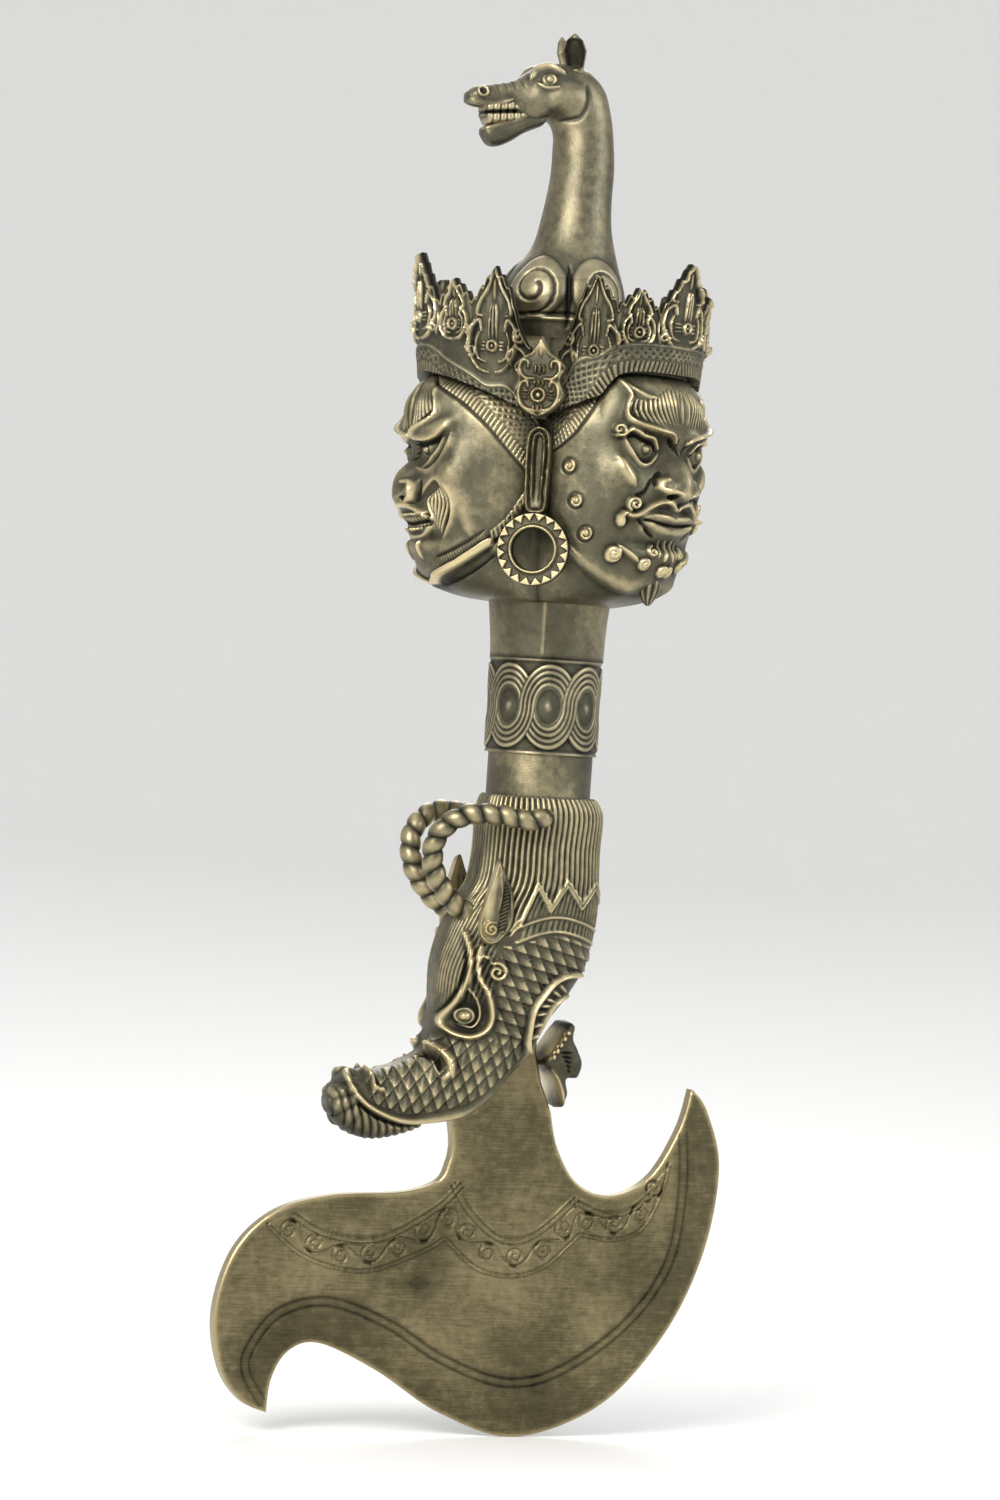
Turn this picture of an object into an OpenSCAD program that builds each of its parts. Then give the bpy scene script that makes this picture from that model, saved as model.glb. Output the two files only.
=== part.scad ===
// Kartika, a ritual chopper cast in brass: a crescent blade held in the mouth of a
// makara (a sea monster with a trunk), a hollow grip with a braided sleeve, a head
// with three faces under a crown of leaves, and a horse's head and neck on top.
// Z runs up along the grip to the horse. The snouts point to the front, which is -X.
// The blade lies in the XZ plane, left is -Y, and the origin is the middle of the grip.

/* [Grip] */
// Radius of the grip below the braided sleeve
grip_r = 12.6; // [11.8:0.1:13.4]
// Length of the grip between the makara and the three faces
grip_len = 46; // [42:1:54]
// Wall of the hollow grip
grip_wall = 4; // [3.4:0.2:5]
// Radius at the top of the grip, under the three faces
grip_top_r = 14.6; // [14:0.1:15.4]
// Length of the spigot at each end of the grip
spigot_len = 10; // [6:1:12]
// Step from the grip to its spigots
spigot_step = 2; // [1.4:0.1:2.4]

/* [Braided sleeve] */
// Height of the braided sleeve
braid_h = 22.6; // [18:0.2:24]
// Wall of the braided sleeve
braid_t = 0.9; // [0.8:0.05:1]
// Depth of the grooves between the strands
braid_groove = 0.4; // [0.25:0.05:0.5]
// Number of eyes in the braid
braid_eyes = 8; // [6:1:10]
// Ridges in each strand
braid_ridges = 4; // [3:1:5]

/* [Blade] */
// Width of the blade from the hook to the far edge
blade_w = 126; // [116:1:134]
// Depth of the blade below the makara's lip
blade_h = 69; // [62:1:76]
// Thickness of the blade
blade_t = 4; // [3:0.25:5]
// Thickness left at the cutting edge
edge_t = 0.8; // [0.5:0.1:1.2]
// Width of the ground bevel along the cutting edge
bevel_w = 7; // [5:0.5:8]
// Width of each engraved line
line_w = 0.7; // [0.5:0.1:1]
// Depth of each engraved line
line_depth = 0.35; // [0.2:0.05:0.6]
// Distance between the two engraved lines of a pair
line_gap = 2.2; // [1.8:0.1:2.8]
// Height of the scalloped band above the flat of the blade
band_relief = 0.5; // [0.3:0.05:0.7]
// Outer radius of the scrolls on the scalloped band
scroll_r = 1.9; // [1.5:0.1:2.2]
// Width of the tang inside the makara's head
tang_w = 15; // [12:0.5:16]
// Length of the blade's neck and tang above the mouth
tang_len = 36; // [30:1:44]

/* [Makara] */
// Height of the makara's head from the grip to its lip
makara_h = 85; // [80:1:92]
// Half the thickness of the makara's head at the mane
makara_half = 15; // [14:0.25:16.5]
// Depth of the grooves between the strands of the mane
mane_depth = 0.8; // [0.3:0.1:1.2]
// Height of the scales on the cheeks and the trunk
scale_h = 0.8; // [0.3:0.1:1.2]
// Radius of the horns
horn_r = 2.5; // [2.1:0.1:2.8]
// Height of the rope twist on the horns
horn_twist = 0.35; // [0.2:0.05:0.5]
// Turns of the rope twist on each horn
horn_turns = 7; // [4:1:10]
// Length of each horn's round peg
horn_peg = 4; // [2:0.5:5]
// Thickness of the leaf-shaped ears
leaf_ear_t = 2.2; // [1.6:0.1:3]
// Half the thickness of the lower jaw
jaw_half = 8; // [6.5:0.25:9]
// Height of each tooth
tooth_h = 1.6; // [1:0.1:2]

/* [Three faces] */
// Height of the head from the grip to the seat of the horse
head_h = 63; // [59:1:68]
// How far the foreheads reach from the axis
face_r = 38; // [36:0.5:40]
// How far the head reaches from the axis between two faces
seam_r = 23; // [21.5:0.5:24]
// How far each nose stands out of its face
nose_h = 4.5; // [3:0.25:5.5]
// Outer radius of the earrings
ring_r = 8.6; // [8:0.1:9.2]
// Radius of the hole in the earrings
ring_hole_r = 4.9; // [4.2:0.1:5.4]
// Thickness of the earrings
ring_t = 2.6; // [2:0.2:3.4]
// Gap between the long ears and the plates above them
ear_gap = 1.4; // [1:0.1:3]
// Width of the long ears
ear_w = 6.4; // [5:0.2:7.4]

/* [Crown] */
// Thickness of the crown's wall
crown_t = 2; // [1.6:0.1:2.6]
// How far the crown leans out at its top
crown_flare = 3.6; // [2:0.2:4.5]
// Height of the middle leaf of each crown
leaf_h = 31; // [26:1:34]
// Height of the side leaves of each crown
side_leaf_h = 27; // [22:1:30]
// Thickness of the three plates that cover the seams
seam_leaf_t = 2; // [1.6:0.1:2.6]

/* [Horse] */
// Height of the horse from its seat to the tips of its ears
horse_h = 74; // [68:1:80]
// Half the thickness of the horse's neck
neck_half = 7.5; // [6.5:0.25:8.5]
// Radius of the tenon under the horse
tenon_r = 8; // [6:0.5:9]
// Length of the tenon
tenon_len = 9; // [6:1:10]
// Radius of the shoulder scrolls
shoulder_r = 7; // [6:0.25:7.5]

/* [Hidden] */
brass = [0.46, 0.42, 0.28];
dark_brass = [0.33, 0.30, 0.21];

fit = 0.05;                // gap round each spigot, tenon, tang and peg
solder = 0.2;              // solder under each ornament that lies on a curved face
grip_top = grip_len / 2;
grip_bottom = -grip_len / 2;
spigot_r = grip_r - spigot_step;
bore_r = grip_r - grip_wall;
head_top = grip_top + head_h;
lip_z = grip_bottom - makara_h;

// Linear blend, and a blend that starts and ends softly
function mix(a, b, t) = a + (b - a) * t;
function clamp01(t) = min(1, max(0, t));
function soft(t) = let (c = clamp01(t)) c * c * (3 - 2 * c);
function unit(v) = v / norm(v);
function bell(d) = exp(-d * d);
function signed_pow(v, e) = sign(v) * pow(abs(v), e);

// Smooth curve through a list of points, u runs from 0 to the last index
function curve_at(p, u) =
    let (i = max(0, min(floor(u), len(p) - 2)), t = u - i,
         a = p[max(i - 1, 0)], b = p[i], c = p[i + 1], d = p[min(i + 2, len(p) - 1)])
    0.5 * (2 * b + (c - a) * t + (2 * a - 5 * b + 4 * c - d) * t * t
           + (3 * b - a - 3 * c + d) * t * t * t);
function curve(p, n) = [for (k = [0:n - 1]) curve_at(p, k * (len(p) - 1) / (n - 1))];

// Closed skin over rings with the same number of points, flat at both ends
module skin(rings) {
    m = len(rings[0]);
    n = len(rings);
    polyhedron(
        points = [for (ring = rings) each ring],
        faces = [
            [for (j = [0:m - 1]) j],
            for (i = [0:n - 2], j = [0:m - 1])
                let (k = (j + 1) % m, a = i * m + j, b = i * m + k, c = a + m, d = b + m)
                each [[a, c, b], [b, c, d]],
            [for (j = [m - 1:-1:0]) (n - 1) * m + j]
        ]
    );
}

// Flat shape that stands in the XZ plane, t thick, in the middle of the object
module upright(t) {
    rotate([90, 0, 0]) linear_extrude(t, center = true) children();
}

// Outline of a line of width w along a smooth path
function path_normal(p, i) =
    let (d = unit(p[min(i + 1, len(p) - 1)] - p[max(i - 1, 0)])) [-d[1], d[0]];
function stroke(p, w) = concat(
    [for (i = [0:len(p) - 1]) p[i] + path_normal(p, i) * w / 2],
    [for (i = [len(p) - 1:-1:0]) p[i] - path_normal(p, i) * w / 2]);

// Grip
sleeve_top = 9.6;          // shoulder that the sleeve stands against
module grip_tube() {
    color(brass) rotate_extrude($fn = 96) polygon([
        [bore_r, grip_bottom - spigot_len], [spigot_r, grip_bottom - spigot_len],
        [spigot_r, grip_bottom], [grip_r, grip_bottom], [grip_r, sleeve_top],
        [grip_r + braid_t + 0.2, sleeve_top],
        for (t = [0.2:0.2:0.8]) [mix(grip_r + braid_t + 0.2, grip_top_r, pow(t, 1.6)),
                                 mix(sleeve_top, grip_top, t)],
        [grip_top_r, grip_top], [spigot_r, grip_top],
        [spigot_r, grip_top + spigot_len], [bore_r, grip_top + spigot_len]
    ]);
}

// Ridged strands that wrap under one eye and over the next. Each groove is an arc
// round an eye, and stops where the strand before it lies on top.
eye_pitch = 2 * PI * (grip_r + braid_t) / braid_eyes;
function on_sleeve(x) = (grip_r + braid_t) * sin(x / (grip_r + braid_t) * 180 / PI);
module braid_arcs() {
    outer = eye_pitch * 0.69;
    inner = eye_pitch - outer;
    tall = (braid_h / 2 - 2) / outer;
    for (k = [0:braid_ridges]) {
        r = mix(inner, outer, k / braid_ridges);
        start = -acos(max(-1, (outer * outer - r * r - eye_pitch * eye_pitch)
                              / (2 * eye_pitch * r)));
        polygon(stroke([for (i = [0:9]) let (t = mix(start, 7, i / 9))
            [on_sleeve(r * cos(t)), r * tall * sin(t)]], 0.45));
    }
}
module braid_sleeve() {
    outer = grip_r + braid_t;
    color(dark_brass) translate([0, 0, sleeve_top - braid_h]) difference() {
        cylinder(r = outer, h = braid_h, $fn = 96);
        translate([0, 0, -1]) cylinder(r = grip_r + fit, h = braid_h + 2, $fn = 96);
        difference() {
            for (k = [0:braid_eyes - 1], turn = [0, 180])
                rotate([0, 0, k * 360 / braid_eyes]) translate([0, -outer * 0.75, braid_h / 2])
                    rotate([90, turn, 0]) linear_extrude(outer * 0.3) braid_arcs();
            translate([0, 0, 1]) cylinder(r = outer - braid_groove, h = braid_h - 2, $fn = 96);
        }
    }
}

// Blade
// The blade's outline in shares of its width and depth, measured from the middle of the lip
function blade_pt(s) = [s[0] * blade_w, lip_z + s[1] * blade_h];
function blade_path(shares, n) = curve([for (s = shares) blade_pt(s)], n);
blade_back = [[-0.133, 0.004], [-0.138, -0.05], [-0.157, -0.117], [-0.227, -0.159],
              [-0.367, -0.178], [-0.475, -0.238], [-0.55, -0.375], [-0.583, -0.588],
              [-0.566, -0.777], [-0.522, -0.888], [-0.471, -0.928]];
blade_edge = [[-0.471, -0.928], [-0.462, -0.812], [-0.428, -0.714], [-0.369, -0.69],
              [-0.255, -0.779], [-0.12, -0.925], [0.033, -1], [0.204, -0.88],
              [0.327, -0.623], [0.397, -0.33], [0.417, -0.035], [0.384, 0.156],
              [0.347, 0.236]];
blade_inner = [[0.347, 0.236], [0.326, 0.091], [0.272, -0.079], [0.194, -0.15],
               [0.122, -0.108], [0.078, 0.012], [0.06, 0.136]];
line_path = [[-0.479, -0.9], [-0.515, -0.79], [-0.507, -0.7], [-0.455, -0.585],
             [-0.362, -0.545], [-0.243, -0.615], [-0.129, -0.735], [-0.003, -0.81],
             [0.106, -0.77], [0.238, -0.6], [0.32, -0.38], [0.34, -0.124], [0.333, 0.08]];
band_top = [[-0.438, -0.235], [-0.375, -0.294], [-0.274, -0.307], [-0.165, -0.202],
            [-0.118, -0.117]];
band_top_mid = [[-0.118, -0.117], [-0.082, -0.217], [-0.021, -0.298], [0.042, -0.274],
                [0.117, -0.152]];
band_top_far = [[0.117, -0.152], [0.177, -0.197], [0.23, -0.182], [0.272, -0.122]];
band_low = [[-0.495, -0.29], [-0.413, -0.4], [-0.295, -0.442], [-0.183, -0.371],
            [-0.139, -0.324]];
band_low_mid = [[-0.139, -0.324], [-0.073, -0.422], [0.002, -0.445], [0.069, -0.407],
                [0.135, -0.295]];
band_low_far = [[0.135, -0.295], [0.204, -0.309], [0.263, -0.265], [0.3, -0.134],
                [0.312, -0.03]];
mouth_z = lip_z + 0.136 * blade_h;
tang_left = -0.095 * blade_w;
tang_top = mouth_z + tang_len;
tang_step = 0.1;           // the tang is filed thinner than the blade on each side

// Places opposite each other on the cutting edge and on the back, which runs from the
// hook over the neck to the far tip
blade_pairs = [[0, 0], [1, 1], [2, 2.25], [3, 4], [4, 6], [5, 8.1], [5.6, 10], [6, 11.1],
               [6.6, 12.5], [7.3, 13.4], [8, 14.1], [9, 15], [10, 15.75], [11, 16.5], [12, 17]];
function blade_top(v) =
    v <= 10 ? curve_at(blade_back, 10 - v)
    : v < 11 ? mix(blade_back[0], blade_inner[6], v - 10) : curve_at(blade_inner, 17 - v);
sections_each = 5;
blade_sections = (len(blade_pairs) - 1) * sections_each;
function pair_at(v) =
    let (k = min(floor(v), len(blade_pairs) - 2)) mix(blade_pairs[k], blade_pairs[k + 1], v - k);
tip_cut = 0.03;            // share of a pair that is left off at each tip
chamfer = 0.3;
// Cross-section of the blade: a small chamfer on the back and a wide bevel on the edge
function blade_section(i) =
    let (v = mix(tip_cut, len(blade_pairs) - 1 - tip_cut, i / blade_sections), q = pair_at(v),
         low = blade_pt(curve_at(blade_edge, q[0])), high = blade_pt(blade_top(q[1])),
         wide = norm(high - low), up = (high - low) / wide,
         ground = soft(v / 2) * soft((len(blade_pairs) - 1 - v) / 2),
         bevel = low + up * min(mix(chamfer, bevel_w, ground), wide * 0.5),
         rim = high - up * min(chamfer, wide * 0.2),
         edge = mix(blade_t / 2 - chamfer, edge_t / 2, ground), flat = blade_t / 2)
    [for (q = [[low, edge], [bevel, flat], [rim, flat], [high, flat - chamfer],
               [high, chamfer - flat], [rim, -flat], [bevel, -flat], [low, -edge]])
        [q[0][0], q[1], q[0][1]]];
// Crescent from tip to tip, with the neck and the tang let into its back
module blade_plate() {
    skin([for (i = [0:blade_sections]) blade_section(i)]);
    upright(blade_t - 2 * tang_step) polygon([
        [tang_left, lip_z - 0.03 * blade_h], [0.055 * blade_w, lip_z + 0.058 * blade_h],
        [0.036 * blade_w, mouth_z + 0.11 * blade_h], [tang_left + tang_w, mouth_z + 0.2 * blade_h],
        [tang_left + tang_w, tang_top],
        [tang_left, tang_top]]);
}

// Middle line of the scalloped band, along which the vine winds
waves = 13;
band_steps = 12;
band_high_edge = concat(blade_path(band_top, band_steps + 1),
    [for (i = [1:band_steps]) blade_path(band_top_mid, band_steps + 1)[i]],
    [for (i = [1:band_steps]) blade_path(band_top_far, band_steps + 1)[i]]);
band_low_edge = concat(blade_path(band_low, band_steps + 1),
    [for (i = [1:band_steps]) blade_path(band_low_mid, band_steps + 1)[i]],
    [for (i = [1:band_steps]) blade_path(band_low_far, band_steps + 1)[i]]);
band_mid = (band_high_edge + band_low_edge) / 2;
function vine(u, reach) =
    let (i = u * (len(band_mid) - 1), d = unit(curve_at(band_mid, min(i + 0.3, len(band_mid) - 1))
                                               - curve_at(band_mid, max(i - 0.3, 0))))
    curve_at(band_mid, i) + [-d[1], d[0]] * reach * sin(u * waves * 180);

module band_outline() {
    n = len(band_low_edge) - 1;
    polygon(concat(band_high_edge, [for (i = [n:-1:0]) band_low_edge[i]]));
}
module vine_lines() {
    for (k = [1:waves - 1]) translate(vine((k - 0.5) / waves, -scroll_r * 0.45)) {
        difference() {
            circle(r = scroll_r, $fn = 24);
            circle(r = scroll_r - line_w * 0.7, $fn = 24);
        }
        circle(r = scroll_r * 0.28, $fn = 16);
    }
}

module blade() {
    color(brass) difference() {
        union() {
            blade_plate();
            upright(blade_t + 2 * band_relief) band_outline();
        }
        for (side = [-1, 1]) {
            for (offset_line = [-line_gap / 2, line_gap / 2])
                translate([0, side * blade_t / 2, 0]) upright(2 * line_depth)
                    polygon(stroke([for (i = [0:48])
                        let (p = blade_path(line_path, 49)) p[i] + path_normal(p, i) * offset_line],
                        line_w));
            translate([0, side * (blade_t / 2 + band_relief), 0]) upright(band_relief * 1.4)
                vine_lines();
        }
    }
}

// Makara
// Each rib: front x and depth below the grip, back x and depth, share of the half
// thickness, and how hollow the back is, which makes the roof of the mouth
makara_ribs = [
    [-13, 0, 13, 0, 0.87, 0], [-14.2, 4.5, 15.2, 4, 0.95, 0], [-14.3, 13, 15, 12.5, 0.95, 0],
    [-15.5, 21, 15.2, 20.5, 0.97, 0], [-19, 27, 15.4, 27, 1, 0], [-22, 33.6, 14.6, 34, 1, 0],
    [-23.8, 41, 13.5, 41, 0.96, 0.02], [-23.9, 48, 10.5, 49.5, 0.92, 0.12],
    [-24.3, 55, 5.8, 57.5, 0.86, 0.25], [-25.5, 60.5, 1, 65.5, 0.8, 0.35],
    [-28, 63, -5.5, 74.5, 0.72, 0.4], [-31.5, 65, -14, 80.5, 0.66, 0.4],
    [-35.5, 66.5, -24, 83.7, 0.6, 0.3], [-40, 67.4, -32, 84.6, 0.56, 0.15],
    [-44.2, 68, -39.5, 83.4, 0.52, 0], [-47.2, 70.2, -45, 81, 0.42, 0],
    [-49, 73.5, -48.4, 77.5, 0.22, 0]];
drawn_makara_h = 85;       // height at which the lists of the makara are written down
makara_k = makara_h / drawn_makara_h;
// Columns of the skin follow the front and the rear of the brow and the lip, so that
// these stand out sharply: u along the ribs, then the angle of each of the three
guides = [[0, 50, 72, 122], [5.4, 59, 72, 122], [6.2, 66, 76, 122], [7.2, 65, 84, 122],
          [7.8, 62, 91, 126], [8.3, 59, 91, 132], [8.8, 62, 86, 142], [10, 60, 90, 150],
          [12, 60, 90, 146], [13, 60, 90, 136], [16, 60, 90, 120]];
brow_front = 10;
brow_rear = 14;
lip_col = 21;
gum_col = 24;
half_skin = 30;
makara_cols = 2 * half_skin;
makara_rows = 41;
guide_cols = [0, brow_front, brow_rear, lip_col, half_skin];
function guide(u, k) =
    k == 0 ? 0 : k == len(guide_cols) - 1 ? 180 : lookup(u, [for (g = guides) [g[0], g[k]]]);
function column_angle(u, j) =
    let (k = j < brow_front ? 0 : j < brow_rear ? 1 : j < lip_col ? 2 : 3)
    mix(guide(u, k), guide(u, k + 1), (j - guide_cols[k]) / (guide_cols[k + 1] - guide_cols[k]));
// Rings at the collar, under the eye, over the nostril and at the rolled tip of the trunk
collar_rows = [11, 13];
brow_foot = 22;
nostril_row = 26;
roll_row = 36;
// Seen from the side, as x and depth below the grip: hem of the mane, collar, eye, curl
mane_hem = [[-10, 32], [-7.7, 29.3], [-3.7, 20.7], [-0.4, 26], [3.7, 19.8], [7.9, 25], [12, 20],
            [16, 25]];
collar_line = [[-8.3, 31.5], [-2.8, 29.2], [2.7, 28.5], [9.9, 30], [15, 32]];
collar_w = 3.4;
makara_eye = [-18.9, 53];
eye_r = 2.2;
cheek_curl = [-12.4, 42.2];
lip_front = [[58, -3.6], [61.7, -4.6], [67.2, -8], [71.9, -12.4]];
function span(v, a, b) = soft((v - a) / 0.4) * soft((b - v) / 0.4);
function one(yes) = yes ? 1 : 0;
// Where the cheek and the trunk carry scales, and where the mane and the forelock hang
function scaly(x, d) =
    let (cheek = soft((d - lookup(x, collar_line) - collar_w) / 1.5) * soft((x + 13) / 2)
                 * soft((-1.5 - x + max(0, 50 - d)) / 1.5) * soft((59 - d) / 3),
         trunk = soft((d - 58) / 2) * soft((x + 42) / 3) * soft((lookup(d, lip_front) - x) / 2)
                 * soft((73 - abs(x + 30) * 0.12 - d) / 2))
    max(cheek, trunk);
function hairy(x, d) =
    max(soft((lookup(x, mane_hem) - d) / 1.5) * soft((x + 17.5) / 2) * soft((d - 1) / 3),
        soft((-13 - x) / 2) * soft((d - 22) / 3) * soft((48 - d) / 3));
function makara_relief(q, u, i, j) =
    1.5 * one(j == lip_col) * span(u, 6.4, 14.2) + 1.1 * one(j == gum_col) * span(u, 6.8, 9.8)
    + 1.4 * one(j == brow_front) * span(u, 5.1, 8.7)
    + 1.4 * one(j == brow_rear) * span(u, 5.8, 8.7)
    + 1.4 * one(i == brow_foot && j > brow_front && j < brow_rear)
    + 1.7 * one(i == nostril_row) * span(j, 4, 14.4)
    + 1.2 * one(i == roll_row) * span(j, 13, 21)
    + 0.6 * one(i == collar_rows[0] || i == collar_rows[1]) * span(j, 12, 30)
    + 1.4 * bell(norm(q - makara_eye) / eye_r) + 1 * bell(norm(q - cheek_curl) / 1.6)
    + scale_h * scaly(q[0], q[1]) * ((i + j) % 2 == 0 ? 0.5 : -0.5)
    - mane_depth * hairy(q[0], q[1]) * (j % 2);
// Point of the skin, u along the ribs, t from the brow over the cheek to the throat.
// i counts the rings, and j the columns on one side.
function makara_pt(u, t, i, j) =
    let (r = curve_at(makara_ribs, u), f = [r[0], r[1]], b = [r[2], r[3]],
         c = signed_pow(cos(t), 0.82), s = signed_pow(sin(t), 0.82),
         cup = c < 0 ? r[5] * (1 - s * s) * 1.6 : 0,
         mid = (f + b) / 2, half = (f - b) / 2 * (c + cup),
         h = i < 1 || i > makara_rows - 2 ? 0 : makara_relief(mid + half, u, i, j),
         out = 1 + h * makara_k / makara_half, at = mid + half * out)
    [at[0] * makara_k, makara_half * r[4] * s * out, grip_bottom - at[1] * makara_k];
function makara_ring(i) =
    let (u = i * (len(makara_ribs) - 1) / makara_rows)
    [for (j = [0:makara_cols - 1])
        let (side = j <= half_skin ? j : makara_cols - j, t = column_angle(u, side))
        makara_pt(u, j <= half_skin ? t : 360 - t, i, side)];

// The horns run from the brow out to the front, up, and back over the mane
horn_path = [[-17.6, 6, -29], [-22.5, 6.6, -26], [-27.2, 7.4, -20], [-28.6, 8.6, -13.5],
             [-26.6, 10.5, -8.5], [-21.5, 13, -5.2], [-14.5, 15.6, -5], [-7.5, 17.3, -5.8],
             [-2, 17.4, -3.8]];
function horn_at(u) =
    let (p = curve_at(horn_path, u)) [p[0], p[1], p[2]] * makara_k + [0, 0, grip_bottom];
horn_rings = 24;
module horn_body() {
    last = len(horn_path) - 1;
    skin([for (i = [0:horn_rings])
        let (u = i * last / horn_rings, at = horn_at(u),
             along = unit(horn_at(min(last, u + 0.05)) - horn_at(max(0, u - 0.05))),
             side = unit(cross(along, [0.2, 1, 0.1])), up = cross(side, along),
             r = horn_r * mix(1, 0.9, u / last))
        [for (k = [0:9])
            let (t = -k * 36, rr = r + horn_twist * cos(2 * (t - i * 180 * horn_turns / horn_rings)))
            at + side * rr * cos(t) + up * rr * sin(t)]]);
}
// Round peg under the root of each horn, and the hole for it
module horn_peg_at(extra) {
    root = horn_at(0);
    into = unit(root - horn_at(0.1));
    translate(root - into) multmatrix(frame_along(into))
        cylinder(r = horn_r * 0.6 + extra, h = 1 + horn_peg + extra, $fn = 24);
}
module horn_seat() {
    root = horn_at(0);
    into = unit(root - horn_at(0.1));
    translate(root - 6 * into) multmatrix(frame_along(into))
        cylinder(r = horn_r + horn_twist + fit, h = 6 + fit, $fn = 32);
}
// Turns the Z axis to direction d
function frame_along(d) =
    let (x = unit(cross(abs(d[1]) < 0.9 ? [0, 1, 0] : [1, 0, 0], d)), y = cross(d, x))
    [[x[0], y[0], d[0], 0], [x[1], y[1], d[1], 0], [x[2], y[2], d[2], 0], [0, 0, 0, 1]];

module mirrored(side) {
    if (side > 0) children();
    else mirror([0, 1, 0]) children();
}
module horn(side) {
    color(brass) mirrored(side) {
        horn_body();
        horn_peg_at(0);
    }
}

module tang_space() {
    translate([tang_left - fit, -blade_t / 2 - fit, lip_z - 5])
        cube([tang_w + 2 * fit, blade_t + 2 * fit, tang_top - lip_z + 5 + fit]);
    translate([-blade_w * 0.2, -blade_t / 2 - fit, lip_z - 5])
        cube([blade_w * 0.2, blade_t + 2 * fit, 9]);
}

module makara_head() {
    color(brass) difference() {
        skin([for (i = [0:makara_rows]) makara_ring(i)]);
        translate([0, 0, grip_bottom - spigot_len - fit])
            cylinder(r = spigot_r + fit, h = spigot_len + 1, $fn = 96);
        tang_space();
        jaw_root(fit);
        for (side = [-1, 1]) mirrored(side) {
            horn_peg_at(fit);
            horn_seat();
        }
    }
}

// Lower jaw: it hangs behind the blade's neck and grips it between two cheeks
jaw_profile = [[9.6, -76.6], [6.9, -80.8], [3.6, -86.4], [5.4, -88.6], [7.6, -92.6], [9, -97.6],
               [10.7, -94.2], [10.2, -90.6], [12.8, -90.2], [14, -86.6], [12.6, -83],
               [11.4, -80.6], [11.6, -77.6], [9.6, -76.6]];
function jaw_point(q) = [q[0] * makara_k, grip_bottom + (q[1] + 23) * makara_k];
// Tab of the lower jaw that is let into the roof of the mouth
jaw_root_half = 5;
module jaw_root(extra) {
    low = jaw_point([7.6, -80]);
    high = jaw_point([11.2, -66]);
    translate([low[0] - extra, -jaw_root_half - extra, low[1]])
        cube([high[0] - low[0] + 2 * extra, 2 * (jaw_root_half + extra), high[1] - low[1] + extra]);
}
module makara_jaw() {
    color(brass) difference() {
        union() {
            jaw_root(0);
            upright(2 * jaw_half) polygon([for (i = [0:51])
                jaw_point(curve_at(jaw_profile, i * 13 / 52))]);
            for (k = [0:3]) {
                at = jaw_point(mix([8.6, -78.4], [4.6, -84.6], k / 3));
                for (side = [-1, 1]) translate([at[0], side * (jaw_half - 1.2), at[1]])
                    rotate([0, -60, 0]) cylinder(r1 = 1.1, r2 = 0.2, h = tooth_h + 0.6, $fn = 16);
            }
        }
        translate([-20, -blade_t / 2 - fit, lip_z - 5])
            cube([20 + 0.06 * blade_w + 0.6, blade_t + 2 * fit, makara_h]);
    }
}

// Ear like a curled leaf, which stands on the cheek along its rear edge. Its outline and
// the hollow in it are seen from the side, as x and depth below the grip.
leaf_outline = [[-14.1, 15.3], [-15.7, 20], [-17.2, 25.4], [-18.1, 30.3], [-17.5, 34.2],
                [-15, 35.9], [-12.2, 34.5], [-9.9, 30], [-10.2, 23.5], [-12.2, 18.8],
                [-14.1, 15.3]];
leaf_hollow = [[-13.6, 19.5], [-14.8, 24], [-15.9, 29.5], [-15.2, 32.8], [-12.9, 32], [-11.9, 28],
               [-12.3, 23], [-13.6, 19.5]];
leaf_curl = [-15.2, 31.6];
leaf_root = [-9.9, 30];    // place where the rear edge meets the cheek
leaf_tilt = 15;            // the front edge leans in towards the brow
leaf_lift = 0.4;           // clears the ridges of the cheek under it
module leaf_shape(list, n) {
    polygon([for (q = curve(list, n)) [q[0] - leaf_root[0], -q[1]] * makara_k]);
}
module leaf_ear(side) {
    color(brass) mirrored(side)
        translate([leaf_root[0] * makara_k, makara_half + leaf_lift, grip_bottom])
        rotate([90, 0, leaf_tilt]) translate([0, 0, -leaf_ear_t]) {
            difference() {
                linear_extrude(leaf_ear_t) leaf_shape(leaf_outline, 41);
                translate([0, 0, -1]) linear_extrude(1 + leaf_ear_t * 0.4) leaf_shape(leaf_hollow, 29);
            }
            translate([(leaf_curl[0] - leaf_root[0]) * makara_k, -leaf_curl[1] * makara_k, 0])
                cylinder(r = 1.5, h = leaf_ear_t * 0.6, $fn = 24);
        }
}

// Three faces
// Angle p runs from -60 to 60 degrees round each face, 0 at the nose
function jaw_z(p) = grip_top + head_h * (0.04 + 0.278 * pow(clamp01((abs(p) - 12) / 44), 1.7));
function hair_z(p) = head_top - head_h * (0.159 + 0.175 * pow(abs(p) / 60, 1.6));
// Round front of radius a whose middle stands c from the axis
function round_face(p, f, s) =
    let (c = (f * f - s * s) / (2 * f - s), a = f - c)
    c * cos(p) + sqrt(a * a - pow(c * sin(p), 2));
face_profile = [[0, -9.5], [0.057, -5.8], [0.133, -4.2], [0.19, -2.8], [0.233, -3.6],
                [0.276, -2.2], [0.342, -1.4], [0.428, -1.2], [0.523, -1.2], [0.589, -1.4],
                [0.665, -1], [0.76, 0.2], [0.855, 0.1], [0.903, -1.6], [0.95, -4.8], [1, -5.4]];
function profile_at(u) =
    let (k = max([for (i = [0:len(face_profile) - 2]) face_profile[i][0] <= u ? i : 0]),
         a = face_profile[k], b = face_profile[k + 1])
    mix(a[1], b[1], soft(clamp01((u - a[0]) / (b[0] - a[0])) * 0.5 + 0.25) * 1.4545 - 0.227);
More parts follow.
